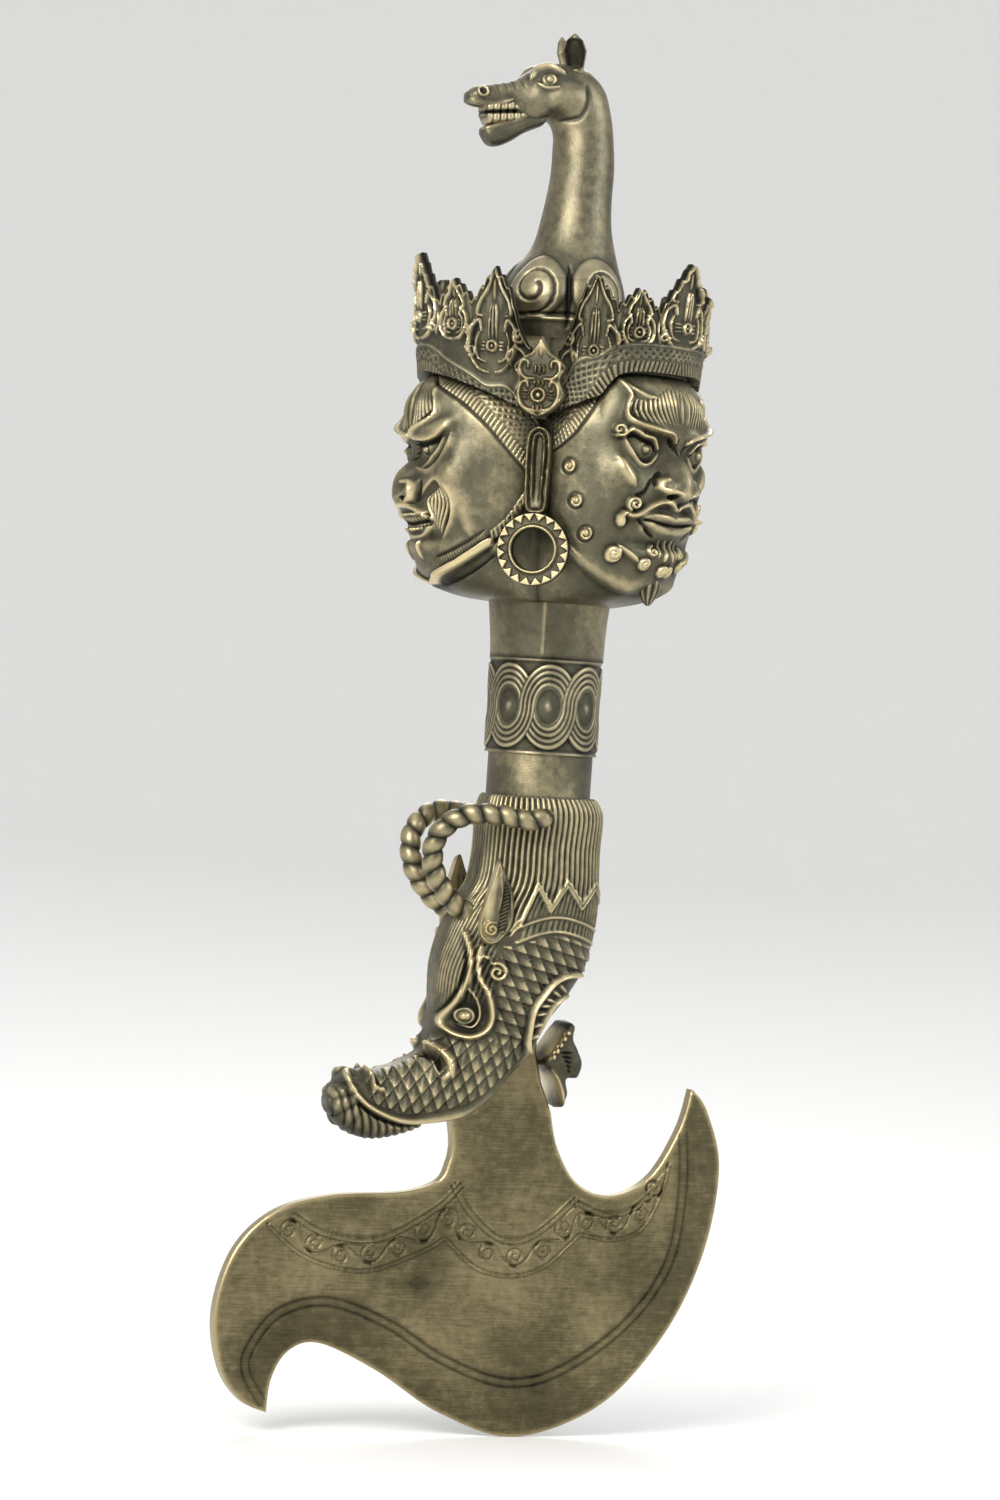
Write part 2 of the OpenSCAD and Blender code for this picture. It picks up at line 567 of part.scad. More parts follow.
// Large forms of a face: nose, eye sockets, eyes, brows, cheekbones, lips and chin.
// p is in degrees from the nose, h is a height on a head that is drawn_head_h tall.
drawn_head_h = 63;
drawn_grip_top = 23;
function face_forms(p, h) =
    let (q = abs(p))
    nose_h * bell(p / mix(6.5, 4, soft((h - 45) / 14))) * soft((h - 42.5) / 3.5)
        * (1 - soft((h - 48) / 14))
    + 1.8 * bell((q - 7.2) / 2.2) * bell((h - 49.6) / 2.2)
    - 1.5 * bell((q - 15) / 8) * bell((h - 58.5) / 4)
    + 2.4 * bell((q - 15.5) / 4.6) * bell((h - 59.3 - 0.12 * (q - 15.5)) / 2.2)
    + 1.9 * bell((h - 64.6 - 0.12 * (q - 10)) / 1.8) * soft(q / 5) * (1 - soft((q - 22) / 5))
    + 1.5 * bell((q - 25) / 8) * bell((h - 54) / 6.5)
    + 1.2 * bell((h - 44.8 + 0.002 * q * q) / 1.2) * (1 - soft((q - 13) / 4))
    - 1.3 * bell((h - 42 + 0.016 * q * q) / 1.1) * (1 - soft((q - 8) / 5))
    + 1.0 * bell((h - 39.6 + 0.01 * q * q) / 1.2) * (1 - soft((q - 7) / 4))
    + 1.2 * bell(q / 7) * bell((h - 33) / 3);
// Rows of the skin follow the lips, the lids and the brow, so that these stand out
// sharply. Each row has its heights, and how far it stands out, at these angles.
row_stops = [0, 5, 10, 15, 20, 26];
upper_rows = [
    [[47.6, 49.4, 50, 49.5, 49.5, 50.5], [0, 0.6, 0.9, 0, 0.6, 0.6]],
    [[52, 53, 53.5, 53.5, 53.5, 54.5], [0, 0, 0, 0, 0, 0]],
    [[56, 57, 58.4, 57.4, 59, 62], [0, 0, 0.8, 0.9, 0.9, 0.4]],
    [[58.5, 59, 59.6, 60, 61.3, 63], [0, 0, 0, 0.2, 0, 0]],
    [[61, 61, 60.6, 62.6, 64, 64.4], [0, 0, 0.9, 1, 1, 0.5]],
    [[63, 63, 64.4, 65.3, 66.2, 69.4], [0.3, 1, 1.2, 1.2, 1.2, 1]],
    [[67.5, 67, 68, 68.2, 68.6, 70.8], [0.3, -0.4, -0.4, -0.4, -0.4, 0]],
    [[71.5, 71, 71.5, 71.3, 71.1, 72], [0.6, 0.5, 0.6, 0.6, 0.6, 0.5]]];
grin_rows = concat([
    [[30.5, 30.5, 31.2, 32, 33, 35.5], [0.4, 0.4, 0.3, 0, 0, 0]],
    [[33.8, 33.8, 34.2, 35, 36.4, 39], [0, 0, 0, 0, 0, 0]],
    [[37, 37, 37.6, 39.4, 40.6, 42.5], [1, 1, 1, 1, 0.6, 0]],
    [[40.8, 40.8, 41, 41.2, 42, 45], [0, 0, 0, 0, 0, 0]],
    [[45.2, 45.5, 44.6, 43, 43.6, 47.8], [0.9, 1, 1, 1, 0.6, 0]]], upper_rows);
moustache_rows = concat([
    [[30.5, 30.5, 31.5, 32.5, 33.5, 35.5], [0.4, 0.4, 0.6, 0.6, 0.8, 0.8]],
    [[34, 34, 34.5, 35, 36, 39], [0, 0, 0, 0, 0, 0]],
    [[39.8, 39.8, 40.3, 42, 43, 43.6], [0.9, 0.9, 0.9, 0.8, 0, 0]],
    [[42, 42, 42.4, 43.6, 44, 45.4], [0, 0, 0, 0, 0.5, 0]],
    [[45.6, 46.6, 46.6, 45.4, 45.2, 47.6], [0.7, 1.5, 1.5, 1.5, 1.7, 0.6]]], upper_rows);
rows_between = [2, 2, 2, 1, 2, 1, 2, 2, 1, 1, 1, 2, 2, 2];
row_marks = concat([for (k = [0:len(rows_between) - 1], m = [0:rows_between[k] - 1])
    k + m / rows_between[k]], [len(rows_between)]);
function at_stops(list, q) = lookup(q, [for (i = [0:len(row_stops) - 1]) [row_stops[i], list[i]]]);
function on_head(h) = grip_top + (h - drawn_grip_top) * head_h / drawn_head_h;
function row_height(rows, k, p) =
    k == 0 ? jaw_z(p) : k > len(rows) ? hair_z(p)
    : mix(on_head(at_stops(rows[k - 1][0], abs(p))),
          mix(jaw_z(p), hair_z(p), k / (len(rows) + 1)), soft((abs(p) - 26) / 12));
function row_z(rows, v, p) =
    let (k = min(floor(v), len(rows)))
    mix(row_height(rows, k, p), row_height(rows, k + 1, p), v - k);
function row_ridge(rows, v, p) =
    v != floor(v) || v == 0 || v > len(rows) ? 0
    : at_stops(rows[v - 1][1], abs(p)) * soft((34 - abs(p)) / 8);
// Fold of the cheek round the corner of the smile
function smile_fold(p, h) = 1.2 * bell((abs(p) - 24.6) / 1.8) * soft((h - 38) / 3) * soft((50 - h) / 3);
function drawn_height(z) = drawn_grip_top + (z - grip_top) * drawn_head_h / head_h;
function head_r(p, u) =
    let (f = face_r + profile_at(u), s = mix(seam_r - 2.5, seam_r, soft(u / 0.3)),
         h = drawn_height(mix(jaw_z(p), hair_z(p), u)))
    round_face(p, f, s) + face_forms(p, h) * (1 - soft((abs(p) - 30) / 20))
        + bell((u - 0.03) / 0.03) * soft((abs(p) - 6) / 10);
// Angles of the columns: close together on the features, wider on the cheeks
fine_cols = 11;
fine_step = 2.3;
cheek_cols = 3;
half_cols = fine_cols + cheek_cols;
function across(j) =
    let (k = abs(j), edge = fine_cols * fine_step)
    sign(j) * (k <= fine_cols ? k * fine_step
               : mix(edge, 60, pow((k - fine_cols) / cheek_cols, 1.25)));
face_rows = len(row_marks) - 1;
neck_rows = 2;
dome_rows = 3;
dome_rim = 7;              // width of the flat round the horse's tenon
face_angles = [180, 300, 60];
function face_point(v, p, grin) =
    let (rows = grin ? grin_rows : moustache_rows, z = row_z(rows, v, p),
         u = (z - jaw_z(p)) / (hair_z(p) - jaw_z(p)))
    [head_r(p, u) + row_ridge(rows, v, p) + (grin ? smile_fold(p, drawn_height(z)) : 0), z];
function head_ring(row) =
    [for (k = [0:2], j = [-half_cols:half_cols - 1])
        let (p = across(j), a = face_angles[0] + k * 120 + p,
             tn = row / neck_rows, td = (row - neck_rows - face_rows) / dome_rows,
             at = face_point(row_marks[min(max(row - neck_rows, 0), face_rows)], p, k == 0),
             q = row < neck_rows ? [mix(grip_top_r + 0.4, at[0], tn), mix(grip_top, at[1], tn * tn)]
                 : td <= 0 ? at
                 : [mix(tenon_r + dome_rim, at[0], sqrt(max(0, 1 - td * td))),
                    mix(at[1], head_top, 1 - pow(1 - td, 1.4))])
        [q[0] * cos(a), q[0] * sin(a), q[1]]];

seam_turn = 25;            // turns each round boss, so that its seam is off the skin's columns
// Tuft of beard that hangs from the chin, and the studs on the cheek before each ear
goatee_at = 30.2;
goatee_r = 2.7;
goatee_len = 9;
module goatee() {
    low = jaw_z(0) - goatee_len * 0.25;
    translate([goatee_at * face_r / 38, 0, low]) rotate(seam_turn) rotate_extrude($fn = 32) polygon([[0, 0],
        for (t = [0:0.1:1]) [goatee_r * pow(sin(180 * mix(0.02, 0.82, t)), 0.7), goatee_len * t],
        [0, goatee_len]]);
}
stud_r = 1.5;
stud_h = 0.8;
module cheek_studs() {
    for (side = [-1, 1], q = [[45.2, 55], [41.3, 46.7], [35.9, 39.2]]) {
        z = on_head(q[1]);
        u = (z - jaw_z(q[0])) / (hair_z(q[0]) - jaw_z(q[0]));
        rotate([0, 0, side * q[0]]) translate([head_r(q[0], u) - 1.5, 0, z])
            rotate([0, 90, 0]) rotate(seam_turn) {
            cylinder(r = stud_r, h = 1.5 + stud_h * 0.6, $fn = 24);
            cylinder(r = stud_r * 0.55, h = 1.5 + stud_h, $fn = 16);
        }
    }
}

// Balls of curled beard
curls = [[24.4, 35.6], [11, 33], [23.7, 43.2]];
curl_r = 1.9;
module curl_ball() {
    rotate_extrude($fn = 24) polygon([[0, -1], [curl_r, -1],
        for (t = [0:15:75]) curl_r * [cos(t), sin(t)], [0, curl_r * sin(75)]]);
}
module beard_curls() {
    for (side = [-1, 1], q = curls) {
        z = on_head(q[1]);
        u = (z - jaw_z(q[0])) / (hair_z(q[0]) - jaw_z(q[0]));
        rotate([0, 0, side * q[0]]) translate([head_r(q[0], u), 0, z])
            rotate([0, 90, 0]) rotate(seam_turn) curl_ball();
    }
}

module three_faced_head() {
    color(brass) difference() {
        union() {
            skin([for (row = [0:neck_rows + face_rows + dome_rows]) head_ring(row)]);
            for (k = [1, 2]) rotate([0, 0, face_angles[k]]) {
                goatee();
                beard_curls();
                cheek_studs();
            }
        }
        translate([0, 0, grip_top - 1])
            cylinder(r = spigot_r + fit, h = spigot_len + 1 + fit, $fn = 96);
        translate([0, 0, head_top - tenon_len - fit])
            cylinder(r = tenon_r + fit, h = tenon_len + 2, $fn = 64);
    }
}

// Distance from the axis, along a seam, at which a flat back of half width w clears
// the two rounded walls that meet there
function seam_seat(w, f, s) =
    let (c = (f * f - s * s) / (2 * f - s), a = f - c)
    c / 2 + sqrt(a * a - pow(w - c * sin(60), 2));

// Directions of the seams between the faces
seam_left = face_angles[0] + 60;
seam_right = face_angles[0] - 60;
seam_rear = face_angles[0] - 180;
// Plate that stands across a seam, with its back at distance d, seen from outside
module seam_plate(angle, d, t) {
    rotate([0, 0, angle + 90]) translate([0, -d, 0]) rotate([90, 0, 0])
        linear_extrude(t) children();
}
// Wedge behind a plate, which fills the corner between the two walls
module seam_keel(angle, near, far, half, low, high) {
    rotate([0, 0, angle]) translate([0, 0, low]) linear_extrude(high - low)
        polygon([[near, -0.4], [near, 0.4], [far, half], [far, -half]]);
}

ear_low = jaw_z(60) + 0.2;
seam_leaf_low = hair_z(60) + 0.6;
ear_len = seam_leaf_low - ear_gap - ear_low;
ear_seat = seam_seat(ear_w / 2, face_r - 1, seam_r) + solder;
module ear_outline(w) {
    translate([0, ear_low]) hull() {
        translate([0, ear_len - ear_w / 2]) circle(d = w, $fn = 32);
        translate([0, ear_w / 2]) circle(d = w * 0.8, $fn = 32);
    }
}
module ear(angle) {
    color(brass) {
        difference() {
            seam_plate(angle, ear_seat, 2.4) ear_outline(ear_w);
            seam_plate(angle, ear_seat + 1.2, 3) difference() {
                ear_outline(ear_w - 2);
                ear_outline(ear_w - 3.8);
            }
        }
        seam_keel(angle, seam_r + 0.35, ear_seat + 0.5, ear_w / 2 - 0.9, ear_low + 4,
                  ear_low + ear_len - 4);
    }
}

ring_seat = seam_seat(ring_r * 0.9, face_r - 1, seam_r - 1) - 1.85;
ring_z = ear_low + ear_w * 0.1 - 0.3 - ring_r;
ring_notches = 20;
module earring(angle) {
    color(brass) seam_ring(angle) difference() {
        cylinder(r = ring_r, h = ring_t, $fn = 96);
        translate([0, 0, -1]) cylinder(r = ring_hole_r, h = ring_t + 2, $fn = 64);
        translate([0, 0, ring_t - 0.6]) difference() {
            cylinder(r = ring_r - 1.7, h = 2, $fn = 64);
            translate([0, 0, -1]) cylinder(r = ring_hole_r + 0.9, h = 4, $fn = 64);
        }
        for (k = [0:ring_notches - 1]) rotate([0, 0, k * 360 / ring_notches])
            translate([ring_r, 0, ring_t]) rotate([0, 0, 45])
                cube([1.1, 1.1, 1.6], center = true);
    }
}
module seam_ring(angle) {
    rotate([0, 0, angle + 90]) translate([0, -ring_seat, ring_z]) rotate([90, 0, 0]) children();
}

// Crown
// Angles of the columns on half a crown, with one at the tip of each leaf
crown_stops = [0, 4, 8, 12.5, 17, 21, 25, 29.5, 34, 38, 42.5, 47, 53];
crown_cols = len(crown_stops) - 1;
crown_line = 12.5;         // the leaves are measured from this far below the horse's seat
wall_h = leaf_h * 0.61;    // wall between the leaves
end_drop = leaf_h * 0.32;  // how much lower the wall is at each end
// Height of one pointed leaf above the wall, d degrees from its middle
function leaf(d, w, h) = h * pow(max(0, 1 - abs(d) / w), 0.9);
function crown_top(p) =
    let (q = abs(p), wall = wall_h - end_drop * soft((q - 42) / 11))
    head_top - crown_line + max(wall + leaf(q, 12, leaf_h - wall_h),
                                wall + leaf(q - 21, 8, leaf_h * 0.16),
                                wall + leaf(q - 38, 9, side_leaf_h - wall_h));
function crown_in(p, t) = head_r(p, 1) + solder + crown_flare * cos(p) * t;
module crown_wall(angle) {
    skin([for (i = [-crown_cols:crown_cols])
        let (p = sign(i) * crown_stops[abs(i)], a = angle + p, low = hair_z(p) + 0.3,
             high = crown_top(p), tall = head_top - crown_line + leaf_h - low)
        [for (q = [[0, 1], [crown_t * 0.6, 1], [crown_t * 1.2, 0.7], [crown_t * 1.5, 0.3],
                   [crown_t, 0], [0, 0]])
            let (z = mix(low, high, q[1]), r = crown_in(p, (z - low) / tall) + q[0])
            [r * cos(a), r * sin(a), z]]]);
}
boss_r = 2.4;
module crown(angle) {
    color(dark_brass) {
        crown_wall(angle);
        for (p = [-38, -21, 0, 21, 38]) rotate([0, 0, angle + p])
            translate([crown_in(p, 0.3) + crown_t, 0, head_top - crown_line + leaf_h * 0.3])
                rotate([0, 90, 0]) rotate(seam_turn) difference() {
                    cylinder(r = boss_r, h = 1.6, $fn = 32);
                    translate([0, 0, 1]) cylinder(r = boss_r - 1, h = 2, $fn = 24);
                }
    }
}

// Pointed plates that hang over the seams
seam_leaf_seat = seam_seat(6, face_r - 4.8 + solder + crown_t * 1.5 + crown_flare * 0.4,
                           seam_r + solder + crown_t * 1.5 + 1) + 0.6;
module seam_leaf(angle) {
    outline = [[0, 0], [3.4, 1.6], [6.2, 5.2], [5.2, 9], [6.4, 12], [4.2, 14.4], [2, 15.8],
               [0, 19.5]];
    half = curve(outline, 22);
    color(brass) {
        difference() {
            seam_plate(angle, seam_leaf_seat, seam_leaf_t) translate([0, seam_leaf_low])
                polygon(concat(half, [for (i = [20:-1:1]) [-half[i][0], half[i][1]]]));
            for (side = [-1, 1])
                seam_plate(angle, seam_leaf_seat + seam_leaf_t - 0.6, 2)
                    translate([side * 3, seam_leaf_low + 11]) difference() {
                        circle(r = 2.2, $fn = 24);
                        circle(r = 1.4, $fn = 24);
                    }
        }
        seam_plate(angle, seam_leaf_seat, seam_leaf_t + 0.8) translate([0, seam_leaf_low + 5.4])
            difference() {
                circle(r = 2.2, $fn = 32);
                circle(r = 1.2, $fn = 24);
            }
        seam_keel(angle, seam_r + 0.4, seam_leaf_seat + 0.5, 1.7, seam_leaf_low, seam_leaf_low + 6);
    }
}

// Horse
// Each rib: back x and height above the seat, front x and height, half thickness
horse_ribs = [
    [12, 0, -14.4, 0, 13], [13.9, 6.5, -15.6, 6, 14.4], [13.2, 12.5, -16.6, 10.5, 14.4],
    [11, 20, -13.5, 16.5, 12], [9.4, 27, -9.3, 22.5, 9.6], [9, 34, -7.4, 30, 8.3],
    [9.2, 42, -6, 39, 7.6], [8.6, 49, -5.8, 46, 7.3], [7.6, 55, -6, 49.5, 7],
    [5.6, 61, -7.5, 52, 6.8], [1.5, 65, -10, 52.3, 6.9], [-4, 66.3, -12.5, 51, 6.7],
    [-9.4, 65.9, -14.5, 51.5, 5.8], [-13, 64.2, -16.5, 52.5, 4.7], [-17.4, 61.3, -18.6, 54.4, 3.9],
    [-22.9, 59.9, -23.2, 54.6, 3.5], [-27, 59, -27, 54.8, 3.6], [-28.9, 57.4, -28.5, 55.2, 2.4]];
horse_cols = 22;
horse_rows = 28;
drawn_horse_h = 74;        // height at which the lists of the horse are written down
horse_k = horse_h / drawn_horse_h;
function horse_pt(u, t) =
    let (r = curve_at(horse_ribs, u), b = [r[0], r[1]], f = [r[2], r[3]],
         mid = (b + f) / 2 * horse_k, half = (b - f) / 2 * horse_k,
         c = signed_pow(cos(t), 0.95), s = signed_pow(sin(t), 0.95))
    [mid[0] + half[0] * c, r[4] * neck_half / 7.5 * s, head_top + mid[1] + half[1] * c];
horse_jaw = [[-11, 53.5, -12.4, 51, 4.2], [-15, 53.6, -14.8, 50, 4], [-18.6, 52.4, -17.8, 47.6, 3.4],
             [-21.6, 51.4, -20.4, 46.2, 2.9], [-23.6, 50.2, -22.4, 46.2, 2.6],
             [-24, 49, -23.3, 47.2, 1.6]];
module horse_ear(side) {
    at = [-1.5 * horse_k, side * 4.2 * neck_half / 7.5, head_top + 64 * horse_k];
    translate(at) rotate([side * -14, 12, 0]) scale(horse_k) difference() {
        skin([for (q = [[-2, 2.2, 2.2], [1.5, 2.1, 1.9], [4.5, 2.7, 2], [7.5, 2.2, 1.5], [9.6, 0.8, 0.6]])
            [for (k = [0:11]) [q[2] * cos(k * 30), q[1] * sin(k * 30), q[0]]]]);
        skin([for (q = [[2, 0.6, 0.8], [4.5, 1.7, 1.4], [7, 1.3, 1.1], [8.8, 0.3, 0.3]])
            [for (k = [0:11]) [q[2] * cos(k * 30) - 1.2, q[1] * sin(k * 30), q[0]]]]);
    }
}
// Scroll on a shoulder: a round boss with a ring cut into its face
scroll_angles = [72, 137];
scroll_z = 12;
scroll_reach = 16.4;
module shoulder_scroll(angle) {
    translate([-1.4, 0, head_top + scroll_z * horse_k]) rotate([0, 0, angle])
        rotate([0, 90, 0]) difference() {
            cylinder(r = shoulder_r, h = scroll_reach, $fn = 48);
            translate([0, 0, scroll_reach - 0.8]) difference() {
                cylinder(r = shoulder_r - 1.4, h = 2, $fn = 48);
                translate([0, 0, -1]) cylinder(r = shoulder_r * 0.42, h = 4, $fn = 32);
            }
        }
}
module horse() {
    color(brass) {
        skin([for (i = [0:horse_rows]) [for (j = [0:horse_cols - 1])
            horse_pt(i * (len(horse_ribs) - 1) / horse_rows, j * 360 / horse_cols)]]);
        skin([for (r = horse_jaw) [for (j = [0:11])
            let (c = cos(j * 30), s = sin(j * 30))
            [mix(r[0], r[2], (1 - c) / 2) * horse_k, r[4] * neck_half / 7.5 * s,
             head_top + horse_k * mix(r[1], r[3], (1 - c) / 2)]]]);
        for (side = [-1, 1]) {
            horse_ear(side);
            translate([-9.5 * horse_k, side * 4.6 * neck_half / 7.5, head_top + 61.2 * horse_k])
                sphere(r = 1.9, $fn = 24);
            for (a = scroll_angles) shoulder_scroll(side * a);
        }
        translate([0, 0, head_top - tenon_len]) cylinder(r = tenon_r, h = tenon_len + 3, $fn = 64);
    }
}

blade();
makara_head();
makara_jaw();
horn(-1);  // horn_left
horn(1);  // horn_right
leaf_ear(-1);  // leaf_ear_left
leaf_ear(1);  // leaf_ear_right
grip_tube();
braid_sleeve();
three_faced_head();
ear(seam_left);  // ear_left
ear(seam_right);  // ear_right
ear(seam_rear);  // ear_rear
earring(seam_left);  // earring_left
earring(seam_right);  // earring_right
earring(seam_rear);  // earring_rear
crown(face_angles[0]);  // crown_front
crown(face_angles[1]);  // crown_left
crown(face_angles[2]);  // crown_right
seam_leaf(seam_left);  // seam_leaf_left
seam_leaf(seam_right);  // seam_leaf_right
seam_leaf(seam_rear);  // seam_leaf_rear
horse();
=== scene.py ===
import math

import bpy
import numpy as np
from mathutils import Matrix, Vector


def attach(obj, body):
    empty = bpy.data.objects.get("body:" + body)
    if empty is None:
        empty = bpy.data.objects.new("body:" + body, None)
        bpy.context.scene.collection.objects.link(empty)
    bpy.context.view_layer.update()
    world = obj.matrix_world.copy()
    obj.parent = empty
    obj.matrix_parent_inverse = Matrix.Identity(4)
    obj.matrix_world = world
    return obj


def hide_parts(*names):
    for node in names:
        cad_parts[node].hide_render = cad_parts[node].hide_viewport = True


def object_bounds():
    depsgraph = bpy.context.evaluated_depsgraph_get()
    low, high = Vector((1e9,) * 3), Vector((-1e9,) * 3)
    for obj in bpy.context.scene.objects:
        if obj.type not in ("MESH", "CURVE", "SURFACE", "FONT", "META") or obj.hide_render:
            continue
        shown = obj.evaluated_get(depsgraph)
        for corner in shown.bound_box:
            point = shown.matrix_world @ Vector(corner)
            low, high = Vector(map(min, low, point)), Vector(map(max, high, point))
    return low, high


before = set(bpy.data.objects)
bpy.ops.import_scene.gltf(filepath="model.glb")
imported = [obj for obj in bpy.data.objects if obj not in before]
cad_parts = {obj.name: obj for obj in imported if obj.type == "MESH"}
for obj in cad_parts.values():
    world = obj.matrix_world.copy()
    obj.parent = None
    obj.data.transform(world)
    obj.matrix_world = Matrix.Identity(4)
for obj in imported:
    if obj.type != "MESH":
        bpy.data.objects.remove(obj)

cad_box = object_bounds()
MM = 0.001

# Sizes of the solids, in mm and degrees
GRIP_R, GRIP_TOP_R, GRIP_TOP, GRIP_BOTTOM, SLEEVE_TOP = 12.6, 14.6, 23.0, -23.0, 9.6
HEAD_H, HEAD_TOP, FACE_R, SEAM_R, NOSE_H = 63.0, 86.0, 38.0, 23.0, 4.5
CROWN_T, CROWN_FLARE, CROWN_BASE = 2.0, 3.6, 73.5
EAR_W, EAR_GAP, RING_R, RING_HOLE_R = 6.4, 1.4, 8.6, 4.9
MAKARA_HALF, LIP_Z = 15.0, -108.0
BLADE_W, BLADE_H, BLADE_T, EDGE_T, BEVEL_W = 126.0, 69.0, 4.0, 0.8, 7.0
FACES = {"front": 180, "left": 300, "right": 60}
SEAMS = {"left": 240, "right": 120, "rear": 0}
KINDS = {"front": "grin", "left": "moustache", "right": "moustache"}

def add_object(name, data):
    """Object with this data, linked to the scene."""
    made = bpy.data.objects.new(name, data)
    bpy.context.scene.collection.objects.link(made)
    return made


# Camera: level, at the front left, rolled so that the chopper leans to the right
AZIMUTH = math.radians(19.5)
ROLL = math.radians(3.5)
DISTANCE, PICTURE_HEIGHT = 1.3, 0.36
AIM_ACROSS, AIM_UP = -0.0097, -0.0126


def set_camera():
    ahead = Vector((math.sin(AZIMUTH), math.cos(AZIMUTH), 0))
    across = ahead.cross(Vector((0, 0, 1)))
    up = math.cos(ROLL) * Vector((0, 0, 1)) - math.sin(ROLL) * across
    aim = AIM_ACROSS * across + Vector((0, 0, AIM_UP))
    turn = Matrix((ahead.cross(up), up, -ahead)).transposed().to_4x4()
    data = bpy.data.cameras.new("camera")
    data.sensor_fit = "VERTICAL"
    data.angle = 2 * math.atan(PICTURE_HEIGHT / 2 / DISTANCE)
    camera = add_object("camera", data)
    camera.matrix_world = Matrix.Translation(aim - DISTANCE * ahead) @ turn
    bpy.context.scene.camera = camera


# Numbers and curves
def mix(a, b, t):
    """From a to b as t goes from 0 to 1."""
    return a + (b - a) * t


def soft(t):
    """0 to 1 with soft ends as t goes from 0 to 1."""
    t = np.clip(t, 0, 1)
    return t * t * (3 - 2 * t)


def bell(d):
    """1 where d is 0, falling away on both sides."""
    return np.exp(-d * d)


def window(v, low, high, rim):
    """1 between low and high, with soft rims."""
    return soft((v - low) / rim) * soft((high - v) / rim)


def ribs(v, pitch, sharp=0.7):
    """Rounded ribs, 0.5 at their tops and -0.5 in the grooves."""
    return np.abs(np.sin(math.pi * v / pitch)) ** sharp - 0.5


def signed_pow(v, e):
    return np.sign(v) * np.abs(v) ** e


def unit(v):
    """Vectors of the same directions, 1 long."""
    return v / np.maximum(np.linalg.norm(v, axis=-1, keepdims=True), 1e-9)


def turned(x, y, angle):
    """Places in a plane, turned about its origin."""
    c, s = math.cos(angle), math.sin(angle)
    return x * c - y * s, x * s + y * c


def all_round(count):
    """Angles all the way round, as one row."""
    return np.linspace(0, 2 * math.pi, count, endpoint=False)[None]


def polar(r, a, z):
    """Places at distance r from the grip's axis, at angle a and at height z."""
    return np.stack(np.broadcast_arrays(r * np.cos(a), r * np.sin(a), z), -1)


def run_along(path):
    """Length from a path's start to each of its places."""
    return np.concatenate([[0], np.cumsum(np.linalg.norm(np.diff(path, axis=0), axis=1))])


def curve(points, count, closed=False):
    """Smooth curve through points."""
    p = np.asarray(points, float)
    if closed:
        p = np.vstack([p[-1:], p, p[:2]])
    u = np.linspace(1 if closed else 0, len(p) - (2 if closed else 1), count)
    i = np.minimum(u.astype(int), len(p) - 2)
    t = (u - i)[:, None]
    a, b, c, d = p[np.maximum(i - 1, 0)], p[i], p[i + 1], p[np.minimum(i + 2, len(p) - 1)]
    return 0.5 * (2 * b + (c - a) * t + (2 * a - 5 * b + 4 * c - d) * t * t
                  + (3 * b - a - 3 * c + d) * t ** 3)


def spiral(x, y, r, turns, start, hand=1, core=0.15):
    """Spiral from its rim, at angle start, to its middle."""
    t = np.linspace(0, 1, int(16 * turns) + 2)
    a = math.radians(start) + hand * 2 * math.pi * turns * t
    radius = r * mix(1, core, t)
    return np.stack([x + radius * np.cos(a), y + radius * np.sin(a)], 1)


def near_path(x, y, path):
    """Distance to a path, its sign (positive on the path's left) and the share along it."""
    best, share, side = np.full(x.shape, 1e9), np.zeros(x.shape), np.ones(x.shape)
    for k in range(len(path) - 1):
        (ax, ay), (dx, dy) = path[k], path[k + 1] - path[k]
        t = np.clip(((x - ax) * dx + (y - ay) * dy) / (dx * dx + dy * dy + 1e-9), 0, 1)
        ex, ey = x - ax - t * dx, y - ay - t * dy
        d = ex * ex + ey * ey
        near = d < best
        best[near], share[near] = d[near], (k + t[near]) / (len(path) - 1)
        side[near] = (dx * ey - dy * ex)[near]
    return np.sqrt(best), np.where(side < 0, -1.0, 1.0), share


